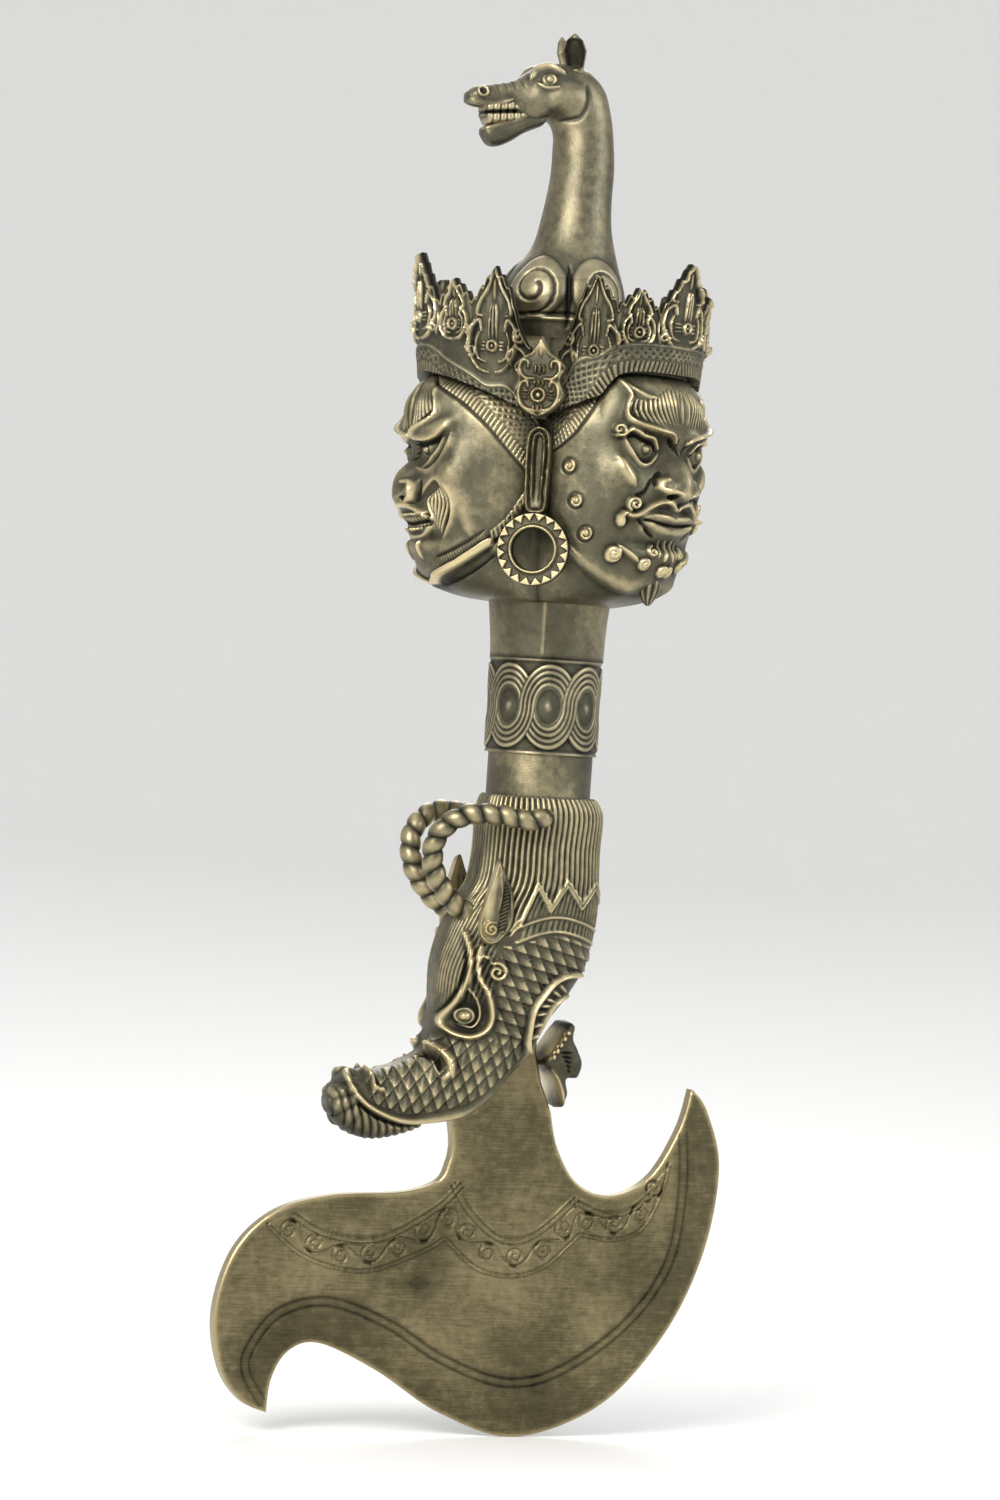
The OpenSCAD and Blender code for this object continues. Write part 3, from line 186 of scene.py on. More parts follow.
class Relief:
    """Heights in mm over a skin whose places are x and y in mm."""

    def __init__(self, x, y, stretch=1.0):
        self.x, self.y, self.h, self.stretch = x, y, np.zeros_like(x), stretch

    def near(self, points, reach, smooth):
        """The places within reach of a path, with what near_path says of them."""
        path = np.asarray(points, float) * (self.stretch, 1)
        if smooth and len(path) < 14:
            path = curve(path, 7 * len(path))
        low, high = path.min(0) - reach, path.max(0) + reach
        box = (self.x > low[0]) & (self.x < high[0]) & (self.y > low[1]) & (self.y < high[1])
        return box, *near_path(self.x[box], self.y[box], path)

    def line(self, points, width, height, taper=0.5, smooth=True):
        """Ridge, or groove where height is below zero, along a path."""
        box, d, side, share = self.near(points, 3 * width, smooth)
        size = 1 - taper * np.abs(2 * share - 1) ** 3
        self.h[box] += height * size * bell(d / (width * size))

    def edge(self, points, width, height, taper=0.6):
        """Fold that stands up sharply along a path and falls away softly to its left."""
        box, d, side, share = self.near(points, 2.5 * width, True)
        size = 1 - taper * np.abs(2 * share - 1) ** 3
        self.h[box] += height * size * soft(d * side / 0.5 + 0.5) * bell(
            np.maximum(d * side, 0) / (width * size))

    def band(self, points, half, height, rim=0.5, smooth=True):
        """Flat raised band, half its width on each side of a path."""
        box, d, _, _ = self.near(points, half + rim, smooth)
        self.h[box] += height * soft((half + rim / 2 - d) / rim)

    def dome(self, x, y, rx, ry, height, turn=0.0, power=0.5):
        """Rounded boss with a clear rim."""
        dx, dy = turned(self.x - x * self.stretch, self.y - y, -math.radians(turn))
        d = (dx / rx) ** 2 + (dy / ry) ** 2
        self.h += height * np.clip(1 - d, 0, 1) ** power

    def ring(self, x, y, r, width, height):
        """Round ridge or groove."""
        self.h += height * bell((np.hypot(self.x - x * self.stretch, self.y - y) - r) / width)

    def curl(self, x, y, r, turns, start, hand, width, height):
        """Spiral ridge or groove that stays round on a stretched skin."""
        path = spiral(x * self.stretch, y, r, turns, start, hand) / (self.stretch, 1)
        self.line(path, width, height, taper=0.15)


def scales(f, mask, across, along, height, lean):
    """Overlapping pointed scales in offset rows; their tips point in direction lean."""
    b, a = turned(f.x, f.y, -math.radians(lean))
    a, b = a / across, b / along
    top = np.zeros_like(a)
    for shift in (-1, 0):
        k = np.floor(b) + shift
        odd = 0.5 * (k % 2)
        off = 2 * np.abs(a - np.floor(a - odd) - 0.5 - odd)
        tip = k + 1 + 0.95 * (1 - off ** 1.25)
        cover = np.clip((tip - b) / 0.12, 0, 1) if shift else 1
        top = np.maximum(top, cover * (0.2 + 0.42 * (b - k)) + 0.12 * bell(off / 0.25) * cover)
    f.h += mask * height * (top - 0.5)


def blur(h, rows, cols):
    """Heights smoothed over so many rows and columns."""
    pad_r, pad_c = int(3 * rows) + 1, int(3 * cols) + 1
    mode = "reflect" if min(h.shape) > max(pad_r, pad_c) else "edge"
    wide = np.pad(h, ((pad_r, pad_r), (pad_c, pad_c)), mode=mode)
    f = np.fft.rfft2(wide)
    fr = np.fft.fftfreq(wide.shape[0])[:, None]
    fc = np.fft.rfftfreq(wide.shape[1])[None]
    f *= np.exp(-2 * math.pi ** 2 * ((rows * fr) ** 2 + (cols * fc) ** 2))
    return np.fft.irfft2(f, s=wide.shape)[pad_r:-pad_r, pad_c:-pad_c]


def tone(h, row_mm, col_mm, fine=0.62, broad=0.3):
    """Wear and painted shade of a place: 0 in a recess, dark as patina and painted shade, 0.5 on
    plain skin, 1 on a proud, rubbed edge.
    """
    # Both terms darken hollows as dark patina and painted shade and lighten proud, rubbed places;
    # the broad one stands in for the shade over wide hollows.
    near = h - blur(h, 0.7 / row_mm, 0.7 / col_mm)
    far = h - blur(h, 2.6 / row_mm, 2.6 / col_mm)
    return np.clip(0.5 + near * fine + far * broad, 0, 1)


# Meshes
# Wear and painted shade given to the middle of a skin's end caps
CAP_WEAR_AND_SHADE = 0.45
# A plate's places nearer to its rim than this share of a step move onto the rim
SNAP = 0.35


def make_object(name, verts, faces, wear_and_shade, slot="brass", sharp=None, node=None):
    """Visible piece over the node that its name starts with, or over another node."""
    mesh = bpy.data.meshes.new(name)
    mesh.from_pydata(np.asarray(verts) * MM, [], faces)
    mesh.shade_smooth()
    if sharp:
        mesh.set_sharp_from_angle(angle=math.radians(sharp))
    layer = mesh.attributes.new("wear_and_shade", "FLOAT", "POINT")
    layer.data.foreach_set("value", np.asarray(wear_and_shade, np.float32).ravel())
    mesh.update()
    mesh.materials.append(MATERIALS[slot])
    piece = add_object(name, mesh)
    node = node or name.split(".")[0]
    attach(piece, "root")
    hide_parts(node)


def skin_faces(rows, cols, wrap=True):
    """Four-sided faces between the rows of a grid."""
    j = np.arange(cols if wrap else cols - 1)
    k = (j + 1) % cols
    i = np.arange(rows - 1)[:, None] * cols
    return np.stack([i + j, i + k, i + cols + k, i + cols + j], -1).reshape(-1, 4)


def raise_skin(p, h):
    """Places of a closed skin moved outwards by heights."""
    across = np.roll(p, -1, 1) - np.roll(p, 1, 1)
    n = np.cross(across, np.gradient(p, axis=0))
    return p + unit(n) * h[..., None]


def skin(name, p, wear_and_shade, slot="brass", sharp=None, node=None):
    """Closed piece over a grid of places; seen from outside, its columns run to the
    right where its rows run up."""
    rows, cols = p.shape[:2]
    verts, wear_and_shade = p.reshape(-1, 3), wear_and_shade.ravel()
    faces = skin_faces(rows, cols).tolist()
    for row, step in ((0, -1), (rows - 1, 1)):
        ring = row * cols + np.arange(cols)
        middle = len(verts)
        verts = np.vstack([verts, verts[ring].mean(0)])
        wear_and_shade = np.append(wear_and_shade, CAP_WEAR_AND_SHADE)
        faces += [(int(a), int(b), middle) for a, b in zip(ring, np.roll(ring, -step))]
    make_object(name, verts, faces, wear_and_shade, slot, sharp, node)


def rim_distance(pts, rim):
    """Distance from each place to a closed outline, its foot there, and if it is inside."""
    best = np.full(len(pts), 1e9)
    foot = np.zeros_like(pts)
    inside = np.zeros(len(pts), bool)
    for a, b in zip(rim, np.roll(rim, -1, 0)):
        d = b - a
        t = np.clip((pts - a) @ d / (d @ d + 1e-12), 0, 1)
        at = a + t[:, None] * d
        r = ((pts - at) ** 2).sum(1)
        near = r < best
        best[near], foot[near] = r[near], at[near]
        if a[1] != b[1]:
            cross = (a[1] > pts[:, 1]) != (b[1] > pts[:, 1])
            at_x = a[0] + (pts[:, 1] - a[1]) / (b[1] - a[1]) * d[0]
            inside ^= cross & (pts[:, 0] < at_x)
    return np.sqrt(best), foot, inside


def plate(name, rim, step, heights, place, slot="brass", sharp=40):
    """Dense plate inside an outline. heights(x, y, d) gives the front, the back and its wear
    and painted shade, from the distance d to the rim; place(x, y, h) sets it in space."""
    low, high = rim.min(0) - 1.5 * step, rim.max(0) + 1.5 * step
    nx, ny = ((high - low) / step).astype(int) + 1
    gx, gy = np.meshgrid(low[0] + step * np.arange(nx), low[1] + step * np.arange(ny))
    pts = np.stack([gx.ravel(), gy.ravel()], 1)
    dist, foot, inside = rim_distance(pts, rim)
    d = np.where(inside, dist, -dist)
    cells = skin_faces(ny, nx, wrap=False)
    cells = cells[(d[cells] > SNAP * step).any(1)]
    used = np.unique(cells)
    number = np.full(len(pts), -1)
    number[used] = np.arange(len(used))
    cells, pts, foot, d = number[cells], pts[used], foot[used], d[used]
    snap = d <= SNAP * step
    pts[snap], d[snap] = foot[snap], 0
    front, back, wear_and_shade = heights(pts[:, 0], pts[:, 1], d)
    n = len(pts)
    verts = np.vstack([place(pts[:, 0], pts[:, 1], front), place(pts[:, 0], pts[:, 1], back)])
    edges = np.concatenate([cells[:, [i, (i + 1) % 4]] for i in range(4)])
    key = edges[:, 0] * n + edges[:, 1]
    lone = edges[~np.isin(key, edges[:, 1] * n + edges[:, 0])]
    wall = np.stack([lone[:, 1], lone[:, 0], lone[:, 0] + n, lone[:, 1] + n], 1)
    faces = np.concatenate([cells, cells[:, ::-1] + n, wall])
    make_object(name, verts, faces, np.concatenate([wear_and_shade, wear_and_shade]), slot, sharp)


def upright(x, z, h):
    """Place for plate(): an outline in the XZ plane, with its front to -Y."""
    return np.stack([x, -h, z], 1)


# Materials: cast brass under a dark olive patina, bare and golden where it is rubbed, and dark in
# hollows as patina and painted shade
def patina(name, plain, bright, rough, scratch=0.0, blotch=0.35):
    """Metal whose colour follows the wear and painted shade of each place, broken up by blotches
    and grain.
    """
    material = bpy.data.materials.new(name)
    material.use_nodes = True
    tree = material.node_tree

    def feed(socket, value):
        if isinstance(value, bpy.types.NodeSocket):
            tree.links.new(value, socket)
        else:
            socket.default_value = value

    def node(kind, sockets):
        made = tree.nodes.new(kind)
        for socket, value in sockets.items():
            feed(made.inputs[socket], value)
        return made

    def maths(operation, a, b, clamp=False):
        made = node("ShaderNodeMath", {0: a, 1: b})
        made.operation, made.use_clamp = operation, clamp
        return made.outputs[0]

    def noise(vector, scale, detail):
        return node("ShaderNodeTexNoise", {"Vector": vector, "Scale": scale, "Detail": detail,
                                           "Roughness": 0.62}).outputs["Fac"]

    def add_share(level, fac, share):
        return maths("ADD", level, maths("MULTIPLY", maths("SUBTRACT", fac, 0.5), share), True)

    place = tree.nodes.new("ShaderNodeTexCoord").outputs["Object"]
    wear_and_shade = tree.nodes.new("ShaderNodeAttribute")
    wear_and_shade.attribute_name = "wear_and_shade"
    mottle, grain = noise(place, 420, 6), noise(place, 2600, 3)
    level = add_share(wear_and_shade.outputs["Fac"], noise(place, 60, 5), blotch)
    level = add_share(level, mottle, blotch * 0.9)
    level = add_share(level, grain, 0.14)
    if scratch:
        stretch = node("ShaderNodeMapping", {"Vector": place, "Scale": (150, 400, 2600),
                                             "Rotation": (0, math.radians(32), 0)})
        level = add_share(level, noise(stretch.outputs[0], 1.0, 3), scratch)
    ramp = node("ShaderNodeValToRGB", {"Fac": level})
    stops = ramp.color_ramp.elements
    recess, plain, bright = (np.array(c) for c in (RECESS_PATINA_AND_SHADE, plain, bright))
    stops[0].position, stops[0].color = 0.14, (*recess, 1)
    stops[1].position, stops[1].color = 0.92, (*bright, 1)
    for position, color in ((0.36, mix(recess, plain, 0.6)), (0.5, plain),
                            (0.66, mix(plain, bright, 0.4))):
        stops.new(position).color = (*color, 1)
    gloss = maths("SUBTRACT", rough + 0.18, maths("MULTIPLY", level, 0.32))
    pits = maths("ADD", maths("MULTIPLY", mottle, 0.6), maths("MULTIPLY", grain, 0.35))
    bump = node("ShaderNodeBump", {"Strength": 0.5, "Distance": 0.0003, "Height": pits})
    shader = tree.nodes["Principled BSDF"].inputs
    feed(shader["Base Color"], ramp.outputs["Color"])
    feed(shader["Metallic"], 0.85)
    feed(shader["Roughness"], add_share(gloss, mottle, 0.3))
    feed(shader["Normal"], bump.outputs["Normal"])
    return material


# Colour of the deepest hollows: dark patina, darkened further as painted shade
RECESS_PATINA_AND_SHADE = (0.010, 0.009, 0.005)
MATERIALS = {
    "brass": patina("brass", (0.110, 0.102, 0.066), (0.56, 0.47, 0.27), 0.42),
    "dark_brass": patina("dark_brass", (0.088, 0.083, 0.056), (0.48, 0.41, 0.25), 0.44),
    "blade_brass": patina("blade_brass", (0.098, 0.083, 0.042), (0.34, 0.28, 0.15), 0.46,
                          scratch=0.30, blotch=0.42),
}


# Three faces: q runs in degrees from 0 at each nose to 60 at the seams, z in mm.
# ARC is the length of a degree on their skin.
ARC = 0.62
# How far a face stands out from its round base, over the share of its height, at its middle
# and over its cheeks
FACE_PROFILE = [(0, -9.5), (0.057, -5.8), (0.133, -4.2), (0.19, -2.8), (0.233, -3.6),
                (0.276, -2.2), (0.342, -1.4), (0.428, -1.2), (0.523, -1.2), (0.589, -1.4),
                (0.665, -1), (0.76, 0.2), (0.855, 0.1), (0.903, -0.8), (0.95, -2.4), (1, -5.4)]
CHEEK_PROFILE = [(0, -9.5), (0.06, -5.8), (0.16, -3.6), (0.34, -1.7), (0.52, -1.2), (0.7, -0.8),
                 (0.84, -0.9), (0.94, -2.7), (1, -5.4)]
HAIRLINES = {
    "grin": [(0, 75.8), (6, 75.2), (12.4, 72.8), (24.6, 69), (33.1, 65.3), (39.1, 61.9),
             (42.9, 59.3), (52, 54), (60, 51)],
    "moustache": [(0, 77.6), (17, 77.6), (24.8, 76.9), (28.5, 75.5), (32.1, 72.6), (36, 68.6),
                  (40.1, 65.1), (43.6, 62.4), (50.9, 59.1), (60, 57)]}
# The noses and the eyes of the side faces sit higher than those of the front
NOSE_UP = {"grin": 0.0, "moustache": 4.0}
EYES = {"grin": (12.5, 57.2), "moustache": (15.8, 59.6)}
# Height of the ticks over the hairline and of the braid's top
TICKS, BRAID = 3.2, 6.4
# Where the goatees hang from
CHIN_R, CHIN_Z = 30.2, 32.5


def jaw_z(q):
    """Height of the jaw's line."""
    return GRIP_TOP + HEAD_H * (0.04 + 0.278 * np.clip((q - 12) / 44, 0, 1) ** 1.7)


def hair_z(q):
    """Height of the hair's lower line."""
    return HEAD_TOP - HEAD_H * (0.159 + 0.175 * (q / 60) ** 1.6)


def top_z(q, kind):
    """Where the crown starts."""
    hairline = curve(HAIRLINES[kind], 80)
    return np.maximum(hair_z(q), np.interp(q, hairline[:, 0], hairline[:, 1]) + 0.2)


def round_face(q, f, s):
    """Radius of an arc that is f out at the face's middle and s out at its seams."""
    q = np.radians(q)
    c = (f * f - s * s) / (2 * f - s)
    return c * np.cos(q) + np.sqrt((f - c) ** 2 - (c * np.sin(q)) ** 2)


def face_forms(q, z, kind):
    """Nose, eye sockets, eyes, brows, cheekbones and chin."""
    up, (eye_q, eye_z) = NOSE_UP[kind], EYES[kind]
    brow_z, lip_z = (61.9, 43.6) if kind == "grin" else (64.6, 44.6)
    nose = z - up
    return (NOSE_H * bell(q / mix(6.5, 4, soft((nose - 45) / 14))) * soft((nose - 42.5) / 3.5)
            * (1 - soft((nose - 48) / 14))
            + 1.9 * bell((q - 6.8) / 2.4) * bell((nose - 47.4) / 2.2)
            - 1.9 * bell((q - 14) / 8) * bell((z - eye_z + 0.8) / 4)
            + 2.6 * bell((q - eye_q) / 4.6) * bell((z - eye_z - 0.12 * (q - eye_q)) / 2.1)
            + 1.7 * bell((z - brow_z - 0.12 * (q - 10)) / 1.8) * soft(q / 9) * soft((27 - q) / 5)
            - 1.6 * bell(q / 6) * bell((nose - 55.5) / 2.6)
            + 1.7 * bell((q - 25) / 8) * bell((z - 53.5) / 6)
            + 0.8 * bell((z - lip_z + 0.012 * q * q) / 1.3) * soft((17 - q) / 4)
            + 1.2 * bell(q / 7) * bell((z - 33) / 3))


def face_base(q, z, kind):
    """Radius of a face before its lines are carved."""
    jaw, top = jaw_z(q), top_z(q, kind)
    u = np.clip((z - jaw) / (top - jaw), 0, 1)
    middle, cheek = (np.interp(u, *curve(profile, 200).T)
                     for profile in (FACE_PROFILE, CHEEK_PROFILE))
    f = FACE_R + mix(middle, cheek, soft((q - 12) / 14))
    s = mix(SEAM_R - 2.5, SEAM_R, soft(u / 0.3))
    return (round_face(q, f, s) + face_forms(q, z, kind) * (1 - soft((q - 30) / 20))
            + bell((u - 0.03) / 0.03) * soft((q - 6) / 10))


def hair(f, kind):
    """Row of ticks along the hairline with a criss-cross braid above it."""
    path = curve(np.array(HAIRLINES[kind]) * (f.stretch, 1), 60)
    d, side, share = near_path(f.x, f.y, path)
    into = d * side
    along = np.interp(share * (len(path) - 1), np.arange(len(path)), run_along(path))
    f.h -= 0.5 * bell((into + 0.1) / 0.3)
    f.h += window(into, 0.1, TICKS, 0.3) * (0.6 * ribs(along + 0.25 * into, 1.2, 0.8) - 0.1)
    weave = np.maximum(ribs(along + into, 1.9), ribs(along - into, 1.9))
    top = BRAID + 3.5 * soft((f.x / f.stretch - 34) / 12)
    f.h += soft((into - TICKS - 0.2) / 0.35) * soft((top - into) / 0.35) * (0.55 * weave - 0.1)
    f.h += 0.35 * bell((into - top - 0.4) / 0.35)
    return into - top


def comb(f, low, high, lean, width, depth):
    """Combed strands between two lines of the same number of places."""
    for a, b in zip(low, high):
        middle = (a + b) / 2 + (lean, 0)
        f.line([a, middle, b], width, 0.7 * depth, taper=0.8)
        f.line([a + (1, 0), middle + (1, 0), b + (1, 0)], width, -0.8 * depth, taper=0.8)


def carve_grin(f, q, z):
    """Front face: bared teeth, a smile with folds, and a strap along the jaw."""
    # Flame-shaped brow with combed strands over it, and the eye under a heavy lid
    ridge = [(1.4, 60.8), (5.5, 61.2), (10.2, 62.7), (14.8, 64.4), (16.8, 66), (15.4, 69),
             (12.6, 72)]
    f.line(ridge, 0.6, 1.3, taper=0.3)
    f.line([(q - 1.3, z + 1) for q, z in ridge[2:6]], 0.4, -0.7)
    comb(f, curve(ridge[:6], 12)[:-2], curve([(0.3, 74.6), (4, 75), (9.5, 74)], 12)[:-2],
         1.4, 0.36, 0.6)
    f.edge([(0.6, 60), (4.6, 59.5), (10, 59.2), (14.6, 59.6), (19, 60.7), (22.8, 62.6)], 1.8, 1.1)
    f.line([(3.1, 58.5), (9.5, 58.4), (15, 58.9), (19.4, 60)], 0.35, -0.7)
    f.edge([(19.6, 59.8), (17.6, 57.8), (14.3, 56), (8.6, 53.6)], 1.0, 1.0, 0.4)
    f.edge([(23, 60.8), (20.6, 57.6), (17, 55), (12, 52.9), (6.6, 53.2)], 1.5, 0.8, 0.4)
    f.ring(11.4, 57.2, 1.1, 0.26, -0.45)
    f.dome(11.4, 57.2, 0.5, 0.5, 0.3)
    # Nose with a hooked nostril and frowning folds
    f.line([(3.4, 49.6), (6.4, 49.5), (8.3, 47.6), (7.4, 45.6), (4.6, 45)], 0.6, 1.0, taper=0.3)
    f.line([(9.4, 50), (10.2, 47.6), (8.8, 45)], 0.5, -0.8)
    f.dome(4.2, 45.6, 1.0, 0.7, -1.4)
    for k in range(3):
        f.line([(1.2 + k, 55 + 1.2 * k), (3.6 + k, 55.6 + 1.4 * k), (4.8 + k, 57.4 + 1.2 * k)],
               0.3, -0.4)
    # Cheek drawn up by the smile, and the fan of folds at the corner of the mouth
    f.line([(8, 47.4), (13, 51), (18.6, 52.6), (23.4, 50.4), (27.4, 46), (29.8, 41.6), (31, 37.8)],
           2.6, 0.7, taper=0.7)
    f.edge([(9.6, 45.6), (13.4, 48.4), (18, 50), (22, 48), (24.4, 44.6), (23.2, 40.8),
            (19.4, 37.2)], 1.4, 0.8, 0.5)
    outer = curve([(20.6, 49), (23.4, 44.6), (18.6, 37.8)], 9)
    inner = curve([(15.4, 46.4), (14.2, 44.8), (15.6, 41.8)], 9)
    for k in range(6):
        path = mix(outer, inner, k / 5)
        f.line(path, 0.34, 0.75, taper=0.6)
        f.line(path + (0.75, 0), 0.26, -0.7, taper=0.6)
    # Lips drawn back from the teeth
    f.band([(0, 40.4), (6, 40.3), (13.4, 40.7)], 1.5, -1.3)
    for k in range(5):
        f.dome(1.5 + 2.7 * k, 41.2 + 0.05 * k, 0.75, 1.25 - 0.1 * k, 1.3)
        f.dome(1.5 + 2.6 * k, 38.9 + 0.2 * k, 0.7, 0.9 - 0.08 * k, 1.1)
    f.line([(0, 43.9), (4, 43.9), (8.9, 42.8), (15.4, 41)], 0.6, 1.1, taper=0.2)
    f.line([(15.4, 41), (12.6, 38.6), (7, 37.1), (0, 36.8)], 0.6, 1.0, taper=0.2)
    f.line([(6.4, 36), (5.7, 34), (5.9, 31.6)], 0.45, 0.8)
    # Jaw with a strap along it, and a fringe up to the ear
    strap = [(0, 25.6), (8, 26.8), (16, 28.8), (24.5, 31), (31, 33.4), (38.4, 36.3)]
    q_mm, strap_z = np.array(strap).T
    above = z - np.interp(q, q_mm, strap_z)
    f.h -= 0.8 * soft((-above - 0.6) / 1.4) * window(q, -4, 41, 5)
    f.band(strap, 0.8, 1.3, smooth=False)
    tick = ribs(f.x + 0.4 * f.y, 0.9)
    f.h += 0.45 * tick * window(above, 1.4, 3.6, 0.4) * window(q, 12, 38, 2)
    f.line([(14, 32.2), (20.3, 33.4), (29.3, 36), (36.6, 39)], 0.4, -0.5)
    low = np.interp(q, (37, 39.7, 45.4, 50.1, 56), (35.5, 36.4, 39.4, 43.2, 48))
    f.h += (0.9 * ribs(f.x + 0.2 * f.y, 1.25) + 0.25) * window(z - low, 0, 2.9, 0.4) * window(
        q, 38, 55, 1.5)


def carve_moustache(f, q, z):
    """Side face: a moustache of strands, a beard in curls, and studs on the cheek."""
    # Flame-shaped brow with combed strands over it
    ridge = [(3.5, 62), (7, 63.6), (11, 64.2), (15, 64.9), (20.1, 65.8), (23.6, 67.4), (23, 70.4),
             (22.4, 73), (25.6, 75.8)]
    f.line(ridge, 0.6, 1.5, taper=0.3)
    f.edge([(11, 64.2), (15, 64.9), (20.1, 65.8), (23.6, 67.4), (23, 70.4)], 1.6, -0.7)
    f.line([(24.9, 76), (20.5, 73.9), (16, 72.4), (12.5, 72.2)], 0.55, 0.8)
    low = curve([(21.4, 67.6), (14.5, 66), (9.3, 66), (4, 66), (1.2, 66.2)], 13)
    high = curve([(20.4, 72), (16.8, 71.4), (11.4, 72.8), (6.4, 74.6), (0.2, 74.6)], 13)
    comb(f, low, high, 1.2, 0.34, 0.6)
    # Eye: a curl at its outer corner runs into the upper lid
    f.curl(26.2, 64.1, 1.5, 1.4, -60, -1, 0.42, 1.2)
    f.line([(26.8, 62.7), (24.5, 62.8), (21.8, 64.2), (17.2, 63), (12.8, 62.3), (9.8, 60.2)],
           0.5, 1.2, taper=0.3)
    f.line([(22.6, 62.6), (20, 62.8), (16.8, 61.8), (13, 61.1), (10.8, 59.6)], 0.32, -0.9)
    f.edge([(23.6, 62.2), (20.4, 59), (16.4, 56.8), (12.8, 57), (10, 58.8)], 1.2, 1.0, 0.4)
    f.ring(15.6, 59.8, 1.2, 0.26, -0.35)
    f.dome(15.6, 59.8, 0.5, 0.5, 0.15)
    # Nose with flared nostrils, frowning folds and the fold beside it
    f.line([(2.6, 49.6), (4.2, 50.2), (7.2, 50.4), (9.4, 51.2), (9, 52.6), (7.2, 53.4)], 0.6, 1.1,
           taper=0.3)
    f.line([(10.8, 51.4), (10.6, 53.4), (8.4, 54.8)], 0.45, -0.8)
    f.dome(5.2, 49.2, 1.3, 0.7, -1.4)
    for k in range(4):
        f.line([(0.8 + 1.6 * k, 59.2 + 0.8 * k), (2 + 1.6 * k, 61 + 0.5 * k), (1.8 + 1.8 * k, 63)],
               0.32, -0.5)
    f.line([(25.8, 57.4), (22.8, 54.4), (19.4, 51.6)], 1.5, 0.9)
    f.line([(12, 53), (14.5, 50), (18.6, 48.8)], 0.6, -0.6)
    # Moustache of twisted strands, with a curl and a drop at its end
    f.line([(0.6, 46.4), (4, 47.4), (7.5, 47.6), (11, 46.8), (15.5, 44.9), (19, 44.2),
            (22.2, 44.6)], 0.75, 1.5, taper=0.15)
    f.line([(1.4, 46.4), (7, 47.2), (11, 46.2), (16, 44.5)], 0.22, -0.6)
    f.curl(18.7, 46.9, 1.65, 1.5, -60, 1, 0.5, 1.4)
    f.dome(23.2, 42.9, 1.15, 1.75, 1.7, turn=-14)
    f.line([(21.4, 44.6), (22.8, 44.6), (23.6, 43.8)], 0.5, 1.2)
    f.line([(14, 44), (9.5, 44.7), (5, 44.4), (0, 43.7)], 0.6, 0.6, taper=0.3)
    f.line([(14, 43.4), (9, 43), (4, 42.6), (0, 42.5)], 0.3, -0.8, taper=0.2)
    f.line([(12, 42.8), (10, 42.1), (7, 41.4), (3.5, 41), (0, 40.9)], 0.8, 0.5, taper=0.3)
    f.line([(16.4, 43.4), (12.4, 41), (8.4, 39.4)], 0.45, -0.7)
    # Curls of beard on the chin and along the jaw
    f.curl(7.8, 36.2, 1.3, 1.3, 90, -1, 0.42, 1.0)
    f.line([(2, 39), (1.4, 36.4), (2.4, 34)], 0.5, 0.8)
    f.line([(5, 38.8), (4.6, 36.6), (5.2, 34.8)], 0.4, 0.6)
    for beard_q, beard_z, r in ((23.9, 34.9, 2.1), (10.6, 33, 1.6), (1.6, 31.6, 1.5)):
        f.dome(beard_q, beard_z, r, r, 1.7)
        f.curl(beard_q, beard_z, r * 0.7, 1.2, 200, 1, 0.26, -0.5)
    f.line([(22, 37), (18, 35.4), (13.4, 33.6)], 0.6, 1.1)
    for stud_q, stud_z in ((44.8, 55), (41.1, 46.9), (35.8, 39.3)):
        f.h -= 0.3 * bell((np.hypot(f.x - stud_q * ARC, f.y - stud_z) - 1.9) / 0.3)
        f.curl(stud_q, stud_z, 1.55, 1.4, 120, 1, 0.34, 0.95)
        f.dome(stud_q, stud_z, 0.6, 0.6, 0.7)


def mirrored_half(grid, sign=1):
    """Both halves of a face, from one seam to the next."""
    return np.concatenate([sign * grid[:, :0:-1], grid[:, :-1]], 1)


def make_head(cols=136, neck=18, face=250, dome=26):
    """One closed skin: the neck under the jaws, the three faces and the dome over them."""
    s = np.arange(cols + 1) / cols
    rows = np.arange(neck + face + dome + 1)[:, None]
    q = 60 * (0.6 * s + 0.4 * s ** 3)[None] + 0 * rows
    tn = np.clip(rows / neck, 0, 1)
    td = np.clip((rows - neck - face) / dome, 0, 1)
    carved = {}
    for kind, carve in (("grin", carve_grin), ("moustache", carve_moustache)):
        jaw, top = jaw_z(q), top_z(q, kind)
        z = mix(jaw, top, np.clip((rows - neck) / face, 0, 1))
        edge = face_base(q, z, kind)
        f = Relief(q * ARC, z, ARC)
        carve(f, q, z)
        hair(f, kind)
        f.h *= soft((rows - neck) / 3.0) * soft((neck + face + 2 - rows) / 3.0)
        r = mix(GRIP_TOP_R + 0.4, edge, tn)
        r = np.where(td > 0, mix(15.0, edge, np.sqrt(np.maximum(0, 1 - td * td))), r) + f.h
        z = np.where(rows < neck, mix(GRIP_TOP, jaw, tn ** 2), z)
        z = np.where(td > 0, mix(top, HEAD_TOP, 1 - (1 - td) ** 1.4), z)
        # The large forms join the carving in the wear and painted shade: proud ones are rubbed
        # lighter, sockets darkened as painted shade.
        carved[kind] = r, z, f.h + 0.5 * (edge - blur(edge, 20, 20))
    places, heights = [], []
    for side, turn in FACES.items():
        r, z, h = (mirrored_half(grid) for grid in carved[KINDS[side]])
        places.append(polar(r, np.radians(turn + mirrored_half(q, -1)), z))
        heights.append(h)
    wear_and_shade = tone(np.concatenate(heights, 1), 0.2, 0.26)
    skin("three_faced_head.skin", np.concatenate(places, 1), wear_and_shade)


